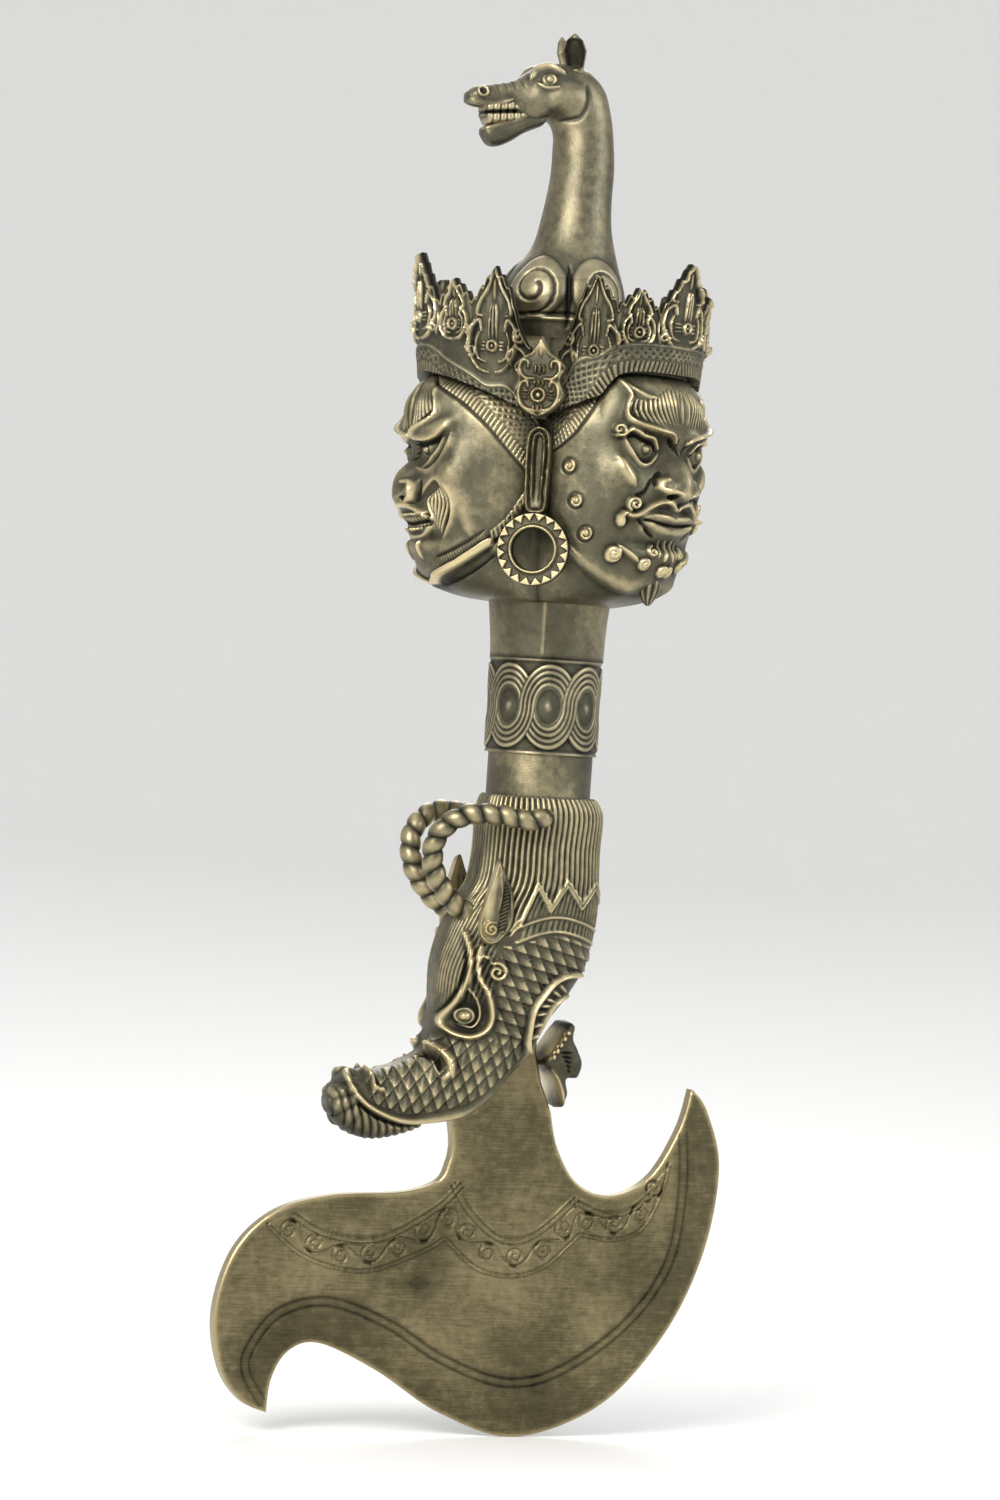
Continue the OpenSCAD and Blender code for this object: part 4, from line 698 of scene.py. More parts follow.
def make_goatee(side, length=9.0):
    """Beard that hangs from the chin under a moustache."""
    t, a = np.linspace(0, 1, 40)[:, None], all_round(48)
    strands = np.cos(9 * a + 2 * t)
    r = 2.7 * np.sin(math.pi * np.clip(0.18 + 0.8 * t, 0, 1)) ** 0.7
    r = r * (1 + 0.06 * strands)
    x, y = turned(CHIN_R + r * np.cos(a), r * np.sin(a), math.radians(FACES[side]))
    p = np.stack([x, y, CHIN_Z - length * t + 0 * a], -1)
    skin("goatee." + side, p[::-1], (0.5 + 0.25 * strands)[::-1], node="three_faced_head")


# Crown: its leaves at these angles, as half width, foot and tip. CROWN_ARC is the length of a
# degree on it.
CROWN_ARC = 0.66
LEAVES = {0: (7.4, 84, 104.5), 21: (4, 83.6, 97.5), -21: (4, 83.6, 97.5), 38: (6, 76, 100.4),
          -38: (6, 76, 100.4)}
WALL = 19


def leaf(d, w, h):
    return h * np.maximum(0, 1 - np.abs(d) / w) ** 0.9


def crown_top(q):
    """Height of the leaves' outline at q degrees from the middle of a face."""
    wall = WALL - 10 * soft((q - 42) / 11)
    return CROWN_BASE + np.maximum.reduce([
        wall + leaf(q, 12, 12), wall + leaf(q - 21, 8, 5), wall + leaf(q - 38, 9, 8)])


def carve_leaf(f, x, low, half, tall):
    """Scrolled leaf: two pairs of C-scrolls round a boss, bars over it and a ribbed tip."""
    # Scrolls at the foot, inside and at the tip, each with its width, height and taper
    scrolls = (
        ([(0.15, 0), (0.6, 0.04), (0.98, 0.2), (0.95, 0.4), (0.62, 0.5), (0.5, 0.4)],
         0.4, 1.1, 0.2),
        ([(0.3, 0.1), (0.62, 0.14), (0.72, 0.28), (0.6, 0.38)], 0.3, 0.8, 0.2),
        ([(0.5, 0.54), (0.72, 0.56), (0.6, 0.68), (0.3, 0.8), (0.05, 0.96)], 0.4, 1.1, 0.3))
    boss = low + 0.25 * tall
    for side in (-1, 1):
        for scroll, *size in scrolls:
            f.line([(x + side * a * half, low + b * tall) for a, b in scroll], *size)
        for k in range(3):
            bar = [(x + side * 1.7, boss - 0.8 + 0.8 * k),
                   (x + side * 0.5 * half, boss - 0.9 + 0.9 * k)]
            f.line(bar, 0.24, 0.7, smooth=False)
    for a in (-1, 0, 1):
        f.line([(x + a * 0.95, boss + 1.6), (x + a * 0.8, low + 0.56 * tall),
                (x + a * 0.5, low + 0.66 * tall)], 0.27, 0.9, smooth=False)
    f.line([(x, low + 0.7 * tall), (x, low + 0.9 * tall)], 0.3, 0.7, smooth=False)
    f.ring(x, boss, 1.15, 0.32, 1.1)
    f.dome(x, boss, 0.5, 0.5, 0.8)


def carve_between_leaves(f, s):
    """Curls and stems on one side of the crown, where s is -1 or 1."""
    for x, z, r, turns, start, hand, width, height in (
            (32, 84.4, 1.7, 1.3, 90, s, 0.4, 1.1), (7, 86.6, 1.4, 1.2, 90, s, 0.36, 0.9),
            (19.6, 81, 1.3, 1.2, -90, s, 0.36, 0.9), (18.4, 85.6, 1.2, 1.2, 90, -s, 0.36, 0.9)):
        f.line(spiral(s * x, z, r, turns, start, hand), width, height, taper=0.1)
    for stem, width, height in (
            ([(34, 78), (33.4, 80.6), (31, 82), (29.4, 79.6), (30.4, 77.6)], 0.45, 1.0),
            ([(31.6, 72), (32.8, 74.4), (32, 76.6)], 0.4, 0.8),
            ([(7.6, 84.6), (8.6, 87.4), (8.2, 90)], 0.34, 0.8),
            ([(20.2, 79.6), (18.6, 83.2), (19.2, 86.4), (20.4, 89)], 0.34, 0.8)):
        f.line([(s * x, z) for x, z in stem], width, height)


def make_crown(side, cols=330, rows=110, inside=16):
    """A third of the crown: carved leaves over the hair's braid, and a plain inner side."""
    kind = KINDS[side]
    p = np.linspace(-53, 53, cols)[None]
    q = np.abs(p)
    low, high = top_z(q, kind) + 0.3, crown_top(q)
    high = high + 0.6 * np.sin(p * 2.2) * soft((high - 90) / 3) * soft((104.2 - high) / 3)
    t = np.concatenate([np.linspace(0, 1, rows), np.linspace(1, 0, inside)])[:, None]
    z = mix(low, high, t)
    f = Relief(p * CROWN_ARC + 0 * z[:rows], z[:rows])
    edge = (high - z)[:rows]
    f.h += 0.8 * bell((edge - 0.5) / 0.45)
    for d, (half, foot, tip) in LEAVES.items():
        carve_leaf(f, d * CROWN_ARC, foot, half, tip - foot)
    for s in (-1, 1):
        carve_between_leaves(f, s)
    weave = Relief(q * ARC + 0 * z[:rows], z[:rows], ARC)
    into = hair(weave, kind)
    f.h = f.h * soft((into - 0.5) / 0.6) + weave.h
    f.h *= soft(edge / 0.5)
    seat = round_face(q, FACE_R - 5.4, SEAM_R) + 0.2
    r = seat + CROWN_FLARE * np.cos(np.radians(p)) * (z - low) / (CROWN_BASE + 31 - low)
    r[:rows] += CROWN_T * 1.35 * (1 - 0.55 * t[:rows] ** 2) + f.h
    wear_and_shade = np.concatenate([tone(f.h, 0.2, 0.23), np.full((inside, cols), 0.5)])
    grid = polar(r, np.radians(FACES[side] + p), z)
    skin("crown_%s.leaves" % side, grid.transpose(1, 0, 2)[::-1], wear_and_shade.T[::-1], "dark_brass", 60)


# Pieces on the seams: ears, rings and pointed plates, laid out across (w) and up (z)
def seam_seat(w, f, s):
    """How far out a flat piece of half width w sits on the corner between two faces."""
    c = (f * f - s * s) / (2 * f - s)
    return c / 2 + math.sqrt((f - c) ** 2 - (w - c * math.sin(math.radians(60))) ** 2)


def across_seam(angle, seat):
    """Gives place(w, z, h) for a plate that stands square across a seam."""
    def place(w, z, h):
        return np.stack([*turned(seat + h, w, math.radians(angle)), z], 1)
    return place


EAR_LOW = float(jaw_z(60.0)) + 0.2
PLATE_LOW = float(hair_z(60.0)) + 0.6
EAR_TOP = PLATE_LOW - EAR_GAP
EAR_SEAT = seam_seat(EAR_W / 2, FACE_R - 1, SEAM_R) + 0.2
RING_SEAT = seam_seat(RING_R * 0.9, FACE_R - 1, SEAM_R - 1) - 1.85
RING_Z = EAR_LOW + EAR_W * 0.1 - 0.3 - RING_R
PLATE_SEAT = seam_seat(6, FACE_R - 4.8 + 0.2 + CROWN_T * 1.5 + CROWN_FLARE * 0.4,
                       SEAM_R + 0.2 + CROWN_T * 1.5 + 1) + 0.6


def make_root(name, side, seat, half, low, high, depth):
    """Wedge that fills the corner behind a plate."""
    rim = np.array([(-half, low), (half, low), (half, high), (-half, high)])
    plate(name, rim, 0.8, lambda x, z, d: (0 * x, 0 * x - depth, 0.35 + 0 * x),
          across_seam(SEAMS[side], seat))


def make_ear(side):
    """Long ear: a rolled rim round a hollow that runs out at its lobe."""
    half, low, top = EAR_W / 2, EAR_LOW, EAR_TOP
    right = [(half * 0.8, low + 1.2), (half * 0.95, low + 8), (half, top - 6),
             (half * 0.8, top - 1.6)]
    left = [(-x, z) for x, z in right[::-1]]
    rim = curve([left[-1], (0, low), *right, (0, top), *left[:-1]], 120, True)[:-1]

    def heights(x, z, d):
        open_low = soft((z - low - 2) / 4)
        h = 1.2 * soft(d / 0.5) + 1.2 * bell((d - 0.6) / 0.42) * mix(0.4, 1, open_low)
        h += 0.8 * bell((d - 1.8) / 0.3) * open_low - 0.6 * bell((d - 1.2) / 0.28)
        h -= 0.9 * soft((d - 2.1) / 0.5) * open_low
        # Lighter on the rolled rim and darker in the hollow, as dark patina and painted shade
        return h + 0.2, -0.4 + 0 * x, np.clip(0.3 + 0.2 * h, 0.02, 0.95)
    plate("ear_%s.shell" % side, rim, 0.16, heights, across_seam(SEAMS[side], EAR_SEAT))
    make_root("ear_%s.root" % side, side, EAR_SEAT, 2.2, low + 3, top - 3, 2.2)


def make_earring(side, cols=360, rows=44, teeth=20):
    """Ring with a plain inner lip and a row of pointed teeth round it."""
    a, s = all_round(cols), np.linspace(0, 1, rows)[:, None]
    r = RING_HOLE_R + (RING_R - RING_HOLE_R) * s + 0 * a
    tooth = 1 - np.abs((a / (2 * math.pi) * teeth % 1) * 2 - 1)
    h = 1.55 + 1.05 * bell((r - RING_HOLE_R - 0.55) / 0.42)
    h += 0.7 * soft((tooth - (RING_R - 0.5 - r) / 1.8) / 0.25) * soft((r - 6.3) / 0.3)
    h *= soft((s + 0.04) / 0.1) ** 0.5 * soft((1.05 - s) / 0.12) ** 0.5
    wear_and_shade = np.pad(tone(h, 0.09, 0.12, fine=0.5), ((1, 1), (0, 0)), constant_values=0.3)
    h = np.concatenate([0 * a, h, 0 * a])
    r = np.concatenate([RING_HOLE_R + 0 * a, r, RING_R + 0 * a])
    place = across_seam(SEAMS[side], RING_SEAT)
    verts = place((r * np.cos(a)).ravel(), (RING_Z + r * np.sin(a)).ravel(), h.ravel())
    last, j = (rows + 1) * cols, np.arange(cols)
    k = (j + 1) % cols
    back = np.stack([last + j, last + k, k, j], 1)
    faces = np.concatenate([skin_faces(rows + 2, cols), back])
    make_object("earring_%s.ring" % side, verts, faces[:, ::-1], wear_and_shade)


def make_seam_leaf(side):
    """Pointed plate with two pairs of C-scrolls, a boss and bars."""
    half = curve([(0, 0), (3.4, 1.6), (6.2, 5.2), (5.2, 9), (6.4, 12), (4.2, 14.4), (2, 15.8),
                  (0, 19.5)], 60)
    rim = np.vstack([half, half[-2:0:-1] * (-1, 1)]) + (0, PLATE_LOW)
    scrolls = ([(0.6, 1.6), (3.3, 2.6), (4.7, 5.2), (4.2, 8), (2.9, 8.4), (2.6, 7.4)],
               [(1.2, 9.2), (3.4, 9.4), (4.8, 11.2), (4.2, 13.2), (2.9, 13.2), (2.8, 12)])
    upright_bars = ((0, 7.6, 9), (1, 7.6, 8.8), (0, 10.2, 12.6), (1, 10.4, 12.4), (0, 1.4, 3.2),
                    (1, 1.8, 3.2))

    def heights(x, z, d):
        f = Relief(np.abs(x), z - PLATE_LOW)
        f.h += 0.6 * bell((d - 0.45) / 0.35)
        for scroll in scrolls:
            f.line(scroll, 0.42, 1.1, taper=0.1)
        f.ring(0, 5.4, 1.5, 0.4, 1.1)
        f.dome(0, 5.4, 0.7, 0.7, 1.0)
        for x0, z0, z1 in upright_bars:
            f.line([(x0, z0), (x0, z1)], 0.27, 0.9, smooth=False)
        for z0 in (4.5, 5.4, 6.3):
            f.line([(2.4, z0), (3.8, z0)], 0.26, 0.8, smooth=False)
        f.line([(0, 14.6), (0, 18.4)], 0.5, 0.7, smooth=False)
        h = 1.5 * soft(d / 0.5) ** 0.5 + f.h * soft(d / 0.3)
        wear_and_shade = np.clip(0.34 + 0.52 * f.h + 0.3 * soft((z - PLATE_LOW - 13) / 4), 0, 1)
        return h, 0 * x, wear_and_shade
    node = "seam_leaf_" + side
    plate(node + ".plate", rim, 0.17, heights, across_seam(SEAMS[side], PLATE_SEAT))
    make_root(node + ".root", side, PLATE_SEAT, 1.7, PLATE_LOW, PLATE_LOW + 6, 5.5)


# Grip and its braided sleeve
def make_grip(cols=200):
    """Plain tube that flares under the faces, with a cast seam on its upper part."""
    flare = np.linspace(0, 1, 34)[:, None]
    shaft = np.linspace(GRIP_BOTTOM, SLEEVE_TOP - 0.1, 60)[:, None]
    z = np.vstack([shaft, mix(SLEEVE_TOP, GRIP_TOP, flare)])
    r = np.vstack([GRIP_R + 0 * shaft, mix(GRIP_R + 1.1, GRIP_TOP_R, flare ** 1.6)])
    a = all_round(cols)
    seam = bell((np.degrees(a) - 246) / 1.6) * soft((z - SLEEVE_TOP) / 1.5)
    wave = 0.07 * np.sin(3 * a + 0.2 * z) + 0.05 * np.sin(5 * a - 0.33 * z)
    r = r + wave - 0.05 + 0.16 * seam
    # The cast seam is rubbed lighter; where the sleeve's top meets the grip it is darkened as
    # painted shade.
    wear_and_shade = (0.52 + 0.1 * np.sin(2 * a + 1 + 0.1 * z) + 0.25 * seam
            - 0.3 * bell((z - SLEEVE_TOP) / 0.7))
    skin("grip_tube.surface", polar(r, a, z), wear_and_shade, sharp=50)


def make_braid(cols=680, rows=170, eyes=8, tall=22.6, middle=-1.7):
    """Strands of four ridges that wrap under one eye and over the next, all the way round."""
    outer = GRIP_R + 0.9
    pitch = 2 * math.pi * outer / eyes
    x = np.linspace(0, 2 * math.pi * outer, cols, endpoint=False)[None]
    y = np.linspace(-tall / 2, tall / 2, rows)[:, None]
    big, small = pitch * 0.69, pitch * 0.31
    up = y / (tall / 2 - 1) * big
    left = x % pitch
    near_left, near_right = np.hypot(left, up), np.hypot(pitch - left, up)
    first = np.where(up > 0, near_right, near_left)
    second = np.where(up > 0, near_left, near_right)
    strand = np.where((first > small) & (first < big), first, second)
    ridge = np.abs(np.sin(math.pi * 4 * (strand - small) / (big - small))) ** 0.55
    h = np.where((strand > small) & (strand < big), -0.28 + 0.5 * ridge, -0.35)
    eye = np.minimum(near_left, near_right)
    h = np.where(eye < small, -0.25 + 0.3 * bell(eye / 0.9) + 0.3 * bell((eye - small) / 0.35), h)
    edge = tall / 2 - np.abs(y)
    h = mix(-0.05, h, soft((edge - 0.4) / 0.5)) * soft(edge / 0.2)
    h = blur(h, 0.7, 0.8)
    p = polar(outer + h, x / outer + math.radians(256), y + middle)
    skin("braid_sleeve.strands", p, tone(h, 0.135, 0.125, fine=1.2), "dark_brass", sharp=70)


# Makara head: ribs as front x, front depth, back x, back depth, half width and cup
MAKARA_RIBS = [
    (-13, 0, 13, 0, 0.87, 0), (-14.2, 4.5, 15.2, 4, 0.95, 0), (-14.3, 13, 15, 12.5, 0.95, 0),
    (-15.5, 21, 15.2, 20.5, 0.97, 0), (-19, 27, 15.4, 27, 1, 0), (-22, 33.6, 14.6, 34, 1, 0),
    (-23.8, 41, 13.5, 41, 0.96, 0.02), (-23.9, 48, 10.5, 49.5, 0.92, 0.12),
    (-24.3, 55, 5.8, 57.5, 0.86, 0.25), (-25.5, 60.5, 1, 65.5, 0.8, 0.35),
    (-28, 63, -5.5, 74.5, 0.72, 0.4), (-31.5, 65, -14, 80.5, 0.66, 0.4),
    (-35.5, 66.5, -24, 83.7, 0.6, 0.3), (-40, 67.4, -32, 84.6, 0.56, 0.15),
    (-44.2, 68, -39.5, 83.4, 0.52, 0), (-47.2, 70.2, -45, 81, 0.42, 0),
    (-49, 73.5, -48.4, 77.5, 0.22, 0)]
# Lines seen from the side, as x and z
HEM = [(-10, -55), (-7.7, -52.3), (-3.7, -43.7), (-0.4, -49), (3.7, -42.8), (7.9, -48), (12, -43),
       (16, -48)]
ARCH = [(-8.3, -54.5), (-2.8, -52.2), (2.7, -51.5), (9.9, -53), (15, -55)]
LIP = [(-44.7, -93.3), (-42.6, -96.7), (-38.2, -99.6), (-31.5, -101.4), (-24.1, -100.5),
       (-16.8, -98.3), (-11.5, -94.9), (-7.1, -90.2), (-3.8, -84.7), (-3.2, -79.4), (-2.6, -74.1),
       (-0.5, -70.4), (2.6, -66.7), (6.2, -65.2), (10, -65)]
LIP_ROLL = [(-37.4, -94.6), (-39.4, -94), (-39.4, -91.6), (-41.5, -90), (-44.2, -91)]
GUM = [(-4.6, -88.5), (-2, -82.4), (0, -77.5), (2.1, -73.4), (3.8, -71.5), (7, -70)]
TEAR = [(-19.2, -56.5), (-18.2, -61.7), (-18.5, -67), (-20.5, -72.4), (-23, -77.4), (-21.4, -80),
        (-17.6, -80.9), (-14, -79.1), (-12.8, -75.5), (-14.1, -70.3), (-16.2, -66.9),
        (-16.8, -62.5), (-16.2, -59.4)]
NOSTRIL = [(-34.1, -86.6), (-31, -84), (-27.5, -83), (-23.9, -84.2), (-21.6, -86.6), (-21.6, -89.4),
           (-23, -91)]


def makara_skin(rows, cols):
    """Places of the makara's skin through its ribs, and the angle t round each rib."""
    r = curve(MAKARA_RIBS, rows)[:, None, :]
    t = all_round(cols)
    c, s = signed_pow(np.cos(t), 0.82), signed_pow(np.sin(t), 0.82)
    cup = np.where(c < 0, r[..., 5] * (1 - s * s) * 1.6, 0)
    front = np.stack([r[..., 0], GRIP_BOTTOM - r[..., 1]], -1)
    back = np.stack([r[..., 2], GRIP_BOTTOM - r[..., 3]], -1)
    xz = (front + back) / 2 + (front - back) / 2 * (c + cup)[..., None]
    y = MAKARA_HALF * r[..., 4] * s
    return np.stack([xz[..., 0], y, xz[..., 1]], -1), t


def height_of(line, x):
    """Height of a line seen from the side, at x."""
    line = np.array(line)
    return np.interp(x, line[:, 0], line[:, 1])


def carve_mane(f, around):
    """Fine strands down to a zigzag hem, hatched triangles and an arch, and hair on the brow."""
    x, z = f.x, f.y
    hem, arch = height_of(HEM, x), height_of(ARCH, x)
    f.h += soft((z - hem) / 0.6) * soft((x + 17.5) / 2) * 0.7 * ribs(around, 1.4, 1)
    for drop, width in ((0, 0.45), (1.3, 0.3)):
        f.line([(a, b - drop) for a, b in HEM], width, 0.7, taper=0, smooth=False)
    below = soft((hem - 1.8 - z) / 0.5) * soft((z - arch - 0.6) / 0.6) * soft((x + 8) / 1.5)
    f.h += below * 0.5 * ribs(around, 1.0)
    for drop in (0, 3.4):
        f.line([(a, b - drop) for a, b in ARCH], 0.35, 0.6, taper=0)
    f.h += window(arch - z, 0.4, 3, 0.3) * soft(x + 8) * 0.5 * ribs(around, 1.2)
    brow = soft((-12 - x) / 2) * window(z, -74, -43, 5)
    f.h += brow * 0.45 * ribs(around + 0.12 * z, 1.05, 1)


def carve_scales(f, flank):
    """Pointed scales on the cheek and on the snout."""
    x, z = f.x, f.y
    arch, lip_z = height_of(ARCH, x), height_of(LIP[:9], x)
    lip_x = height_of([(b, a) for a, b in LIP[7:14]], z)
    cheek = soft((arch - 4 - z) / 0.8) * soft((x + 12.2) / 1.2) * soft((z + 83) / 3)
    cheek *= np.where(z < -64.5, soft(lip_x - 1 - x), 1)
    scales(f, cheek * flank, 3.1, 3.3, 1.1, -38)
    snout = soft((z - lip_z - 1) / 0.8) * soft((-80 - z) / 2) * soft((x + 42) / 3) * (x < -3)
    snout *= 1 - bell(np.hypot(x + 17.5, z + 76) / 5.6)
    scales(f, snout * flank, 3.2, 2.6, 1.1, -100)


def carve_mouth(f, flank):
    """A bright rim that rolls up at the trunk's tip, with ribs inside it and under it."""
    x, z = f.x, f.y
    f.line(curve(LIP_ROLL + LIP, 110), 0.7, 1.7, taper=0.1)
    f.line([(a, b - 1.5) for a, b in LIP[1:8]], 0.4, -0.8, taper=0)
    f.line(GUM, 0.6, 1.3, taper=0.3)
    for a, b in zip(curve(LIP[7:13], 10), curve(GUM, 10)):
        f.line([mix(a, b, 0.25), mix(a, b, 0.8)], 0.4, 0.9, smooth=False)
    under = soft((height_of(LIP[:9], x) - z - 1) / 0.8) * (x < -9) * flank
    f.h += under * 0.6 * ribs(x + 0.3 * z, 1.9)
    turn = np.arctan2(z + 93.5, x + 38)
    f.h += soft((-42 - x) / 2) * 0.5 * (np.abs(np.sin(9 * turn)) - 0.5)


def carve_makara_eye(f):
    """Eye under a tear-shaped brow, the curl behind it, and the crescent nostril."""
    f.h -= 0.8 * bell(np.hypot((f.x + 18) / 3.6, (f.y + 75) / 4.6) ** 2)
    f.line(curve(TEAR, 80), 0.7, 1.7, taper=0.2)
    f.line([(-19.6, -60), (-19.6, -65), (-21, -70.4), (-24, -76)], 0.4, -0.7)
    f.line([(-18.3, -69.6), (-16.3, -72.6), (-15.7, -76), (-17.2, -78.5), (-20.4, -78)], 0.45, 0.9)
    f.dome(-18.9, -76, 2.4, 2.1, 1.7)
    f.ring(-18.9, -76, 1.4, 0.28, -0.6)
    f.dome(-18.9, -76, 0.75, 0.75, 0.6)
    f.line(spiral(-12.4, -65.2, 2.3, 1.5, 120, -1), 0.5, 1.2, taper=0.1)
    f.line([(-16.3, -63), (-15.6, -61.6), (-14.2, -62.2)], 0.5, 0.9)
    f.line(NOSTRIL, 1.2, 2.1, taper=0.45)
    f.line([(-31, -86.4), (-27, -85.6), (-24.4, -87.2), (-23.9, -89.4)], 0.7, -1.1)


def make_makara(rows=450, cols=430):
    p, t = makara_skin(rows, cols)
    girth = p[rows // 8]
    around = np.cumsum(np.linalg.norm(girth - np.roll(girth, 1, 0), axis=1))[None]
    flank = soft((np.abs(np.sin(t)) ** 0.5 - 0.35) / 0.2)
    f = Relief(p[..., 0], p[..., 2])
    carve_mane(f, around + 0.15 * np.sin(0.4 * f.y))
    carve_scales(f, flank)
    carve_mouth(f, flank)
    carve_makara_eye(f)
    f.h *= np.clip(flank + 0.35 * (1 - window(f.x, -41, -22, 3)), 0, 1)
    row = np.arange(rows)[:, None]
    f.h *= soft(row / 8.0) * soft((rows - 1 - row) / 14.0)
    # Painted shade: the mouth is darkened along the middle of its underside
    mouth = soft((MAKARA_HALF * 0.45 - np.abs(p[..., 1])) / 3) * soft(-np.cos(t) * 2) * (f.y < -80)
    wear_and_shade = tone(f.h, 0.24, 0.22) - 0.25 * mouth
    skin("makara_head.skin", raise_skin(p, f.h), np.clip(wear_and_shade, 0, 1))


def make_jaw():
    """Small lower jaw behind the neck of the blade, with a row of teeth and a lip flap."""
    rim = curve([(9.6, -76.6), (6.9, -80.8), (3.6, -86.4), (5.4, -88.6), (7.6, -92.6), (9, -97.6),
                 (10.7, -94.2), (10.2, -90.6), (12.8, -90.2), (14, -86.6), (12.6, -83),
                 (11.4, -80.6), (11.6, -77.6)], 130, True)[:-1]

    def heights(x, z, d):
        f = Relief(x, z)
        f.line([(8.6, -78.4), (6.6, -82), (4.6, -86)], 0.7, 1.2)
        f.line([(5.8, -88.4), (8, -92.4), (9.4, -96.8)], 0.6, 1.1)
        for k in range(5):
            f.dome(9.2 - 0.85 * k, -79.2 - 1.5 * k, 0.6, 0.75, 0.9)
            f.line([(7.4 + 0.5 * k, -84 - k), (10.4, -84 - 1.2 * k)], 0.3, -0.5, smooth=False)
        half = 3.6 * soft(d / 0.4) + 3.2 * np.sqrt(1 - (1 - np.clip(d / 3.4, 0, 1)) ** 2) + f.h
        half = np.minimum(half, 8)
        return half, -half, np.clip(0.35 + 0.5 * f.h, 0, 0.95)
    plate("makara_jaw.body", rim, 0.25, heights, upright)


def make_leaf_ear(side, sign, tilt=math.radians(15), root=-9.9):
    """Leaf-shaped ear: a smooth rolled lobe in front, a hatched hollow and a curl at its foot."""
    rim = curve([(-14.1, -38.3), (-15.7, -43), (-17.2, -48.4), (-18.1, -53.3), (-17.5, -57.2),
                 (-15, -58.9), (-12.2, -57.5), (-9.9, -53), (-10.2, -46.5), (-12.2, -41.8)],
                150, True)[:-1]

    def heights(x, z, d):
        f = Relief(x, z)
        f.h += 0.7 * bell((d - 0.55) / 0.4)
        f.line([(-14.1, -39.6), (-14.9, -44), (-15.8, -49), (-16, -52.6)], 1.3, 0.9, taper=0.5)
        f.line([(-13.4, -42), (-13, -46.5), (-13.6, -51)], 0.45, 0.7)
        hollow = window(x - 0.1 * (z + 50), -13.2, -10.9, 0.5) * window(z, -56.5, -42, 1.5)
        f.h += hollow * (0.4 * ribs(z - 0.6 * x, 0.85) - 0.5)
        f.line(spiral(-14.9, -55, 1.8, 1.5, 60, 1), 0.45, 1.1, taper=0.1)
        # Darker in the hatched hollow as dark patina and painted shade, lighter on the rubbed lobe
        # in front
        wear_and_shade = 0.42 + 0.3 * f.h + 0.15 * soft((-13.6 - x) / 1.5)
        return 1.5 * soft(d / 0.9) ** 0.6 + f.h * soft(d / 0.4), 0 * x, np.clip(wear_and_shade, 0, 0.95)

    def place(x, z, h):
        run, out = turned(x - root, h, tilt)
        return np.stack([root + run, sign * (MAKARA_HALF + 0.4 + out), z], 1)
    plate("leaf_ear_%s.leaf" % side, rim, 0.16, heights, place)


def make_horn(side, sign, rings=440, cols=60, pitch=4.1):
    """Rope-twisted horn that runs from the brow out, up and back over the mane."""
    path = curve([(-17.6, 6, -52), (-22.5, 6.6, -49), (-27.2, 7.4, -43), (-28.6, 8.6, -36.5),
                  (-26.6, 10.5, -31.5), (-21.5, 13, -28.2), (-14.5, 15.6, -28), (-7.5, 17.3, -28.8),
                  (-2, 17.4, -26.8)], rings) * (1, sign, 1)
    along = unit(np.gradient(path, axis=0))
    out = unit(np.cross(along, (0.2, sign, 0.1)))
    up = np.cross(out, along)[:, None]
    run, a = run_along(path)[:, None], all_round(cols)
    twist = np.abs(np.sin(a / 2 - sign * math.pi * run / pitch)) ** 0.5
    end = soft((run[-1] - run) / 2.6) ** 0.5
    r = ((2.3 * mix(1, 0.9, run / run[-1]) + 0.75 * twist - 0.35) * (0.12 + 0.88 * end))[..., None]
    p = path[:, None] + r * (out[:, None] * np.cos(a)[..., None] + up * np.sin(a)[..., None])
    skin("horn_%s.rope" % side, p[::-1], np.clip(0.1 + 0.6 * twist, 0, 1)[::-1])


# Horse: ribs as back x, back height, front x, front height and half width
HORSE_RIBS = [
    (12, 0, -14.4, 0, 13), (13.9, 6.5, -15.6, 6, 14.4), (13.2, 12.5, -16.6, 10.5, 14.4),
    (11, 20, -13.5, 16.5, 12), (9.4, 27, -9.3, 22.5, 9.6), (9, 34, -7.4, 30, 8.3),
    (9.2, 42, -6, 39, 7.6), (8.6, 49, -5.8, 46, 7.3), (7.6, 55, -6, 49.5, 7),
    (5.6, 61, -7.5, 52, 6.8), (1.5, 65, -10, 52.3, 6.9), (-4, 66.3, -12.5, 51, 6.7),
    (-9.4, 65.9, -14.5, 51.5, 5.8), (-13, 64.2, -16.5, 52.5, 4.7), (-17.4, 61.3, -18.6, 54.4, 3.9),
    (-22.9, 59.9, -23.2, 54.6, 3.5), (-27, 59, -27, 54.8, 3.6), (-28.9, 57.4, -28.5, 55.2, 2.4)]
JAW_RIBS = [
    (-9, 54, -10.4, 50.6, 4.4), (-14, 53.4, -14.2, 48.8, 4.2), (-18.2, 51.6, -17.4, 46.6, 3.7),
    (-21.6, 50.6, -20.4, 45.2, 3.2), (-24, 49.8, -22.6, 45.2, 2.9), (-24.8, 48.6, -23.8, 46.6, 1.9)]


def ribbed_skin(ribs_list, rows, cols, power):
    """Places of a skin through the horse's ribs, and how far each faces sideways."""
    r, t = curve(ribs_list, rows)[:, None, :], all_round(cols)
    c, s = signed_pow(np.cos(t), power), signed_pow(np.sin(t), power)
    x = mix(r[..., 2], r[..., 0], (1 + c) / 2)
    z = HEAD_TOP + mix(r[..., 3], r[..., 1], (1 + c) / 2)
    return np.stack([x, r[..., 4] * s, z], -1), s


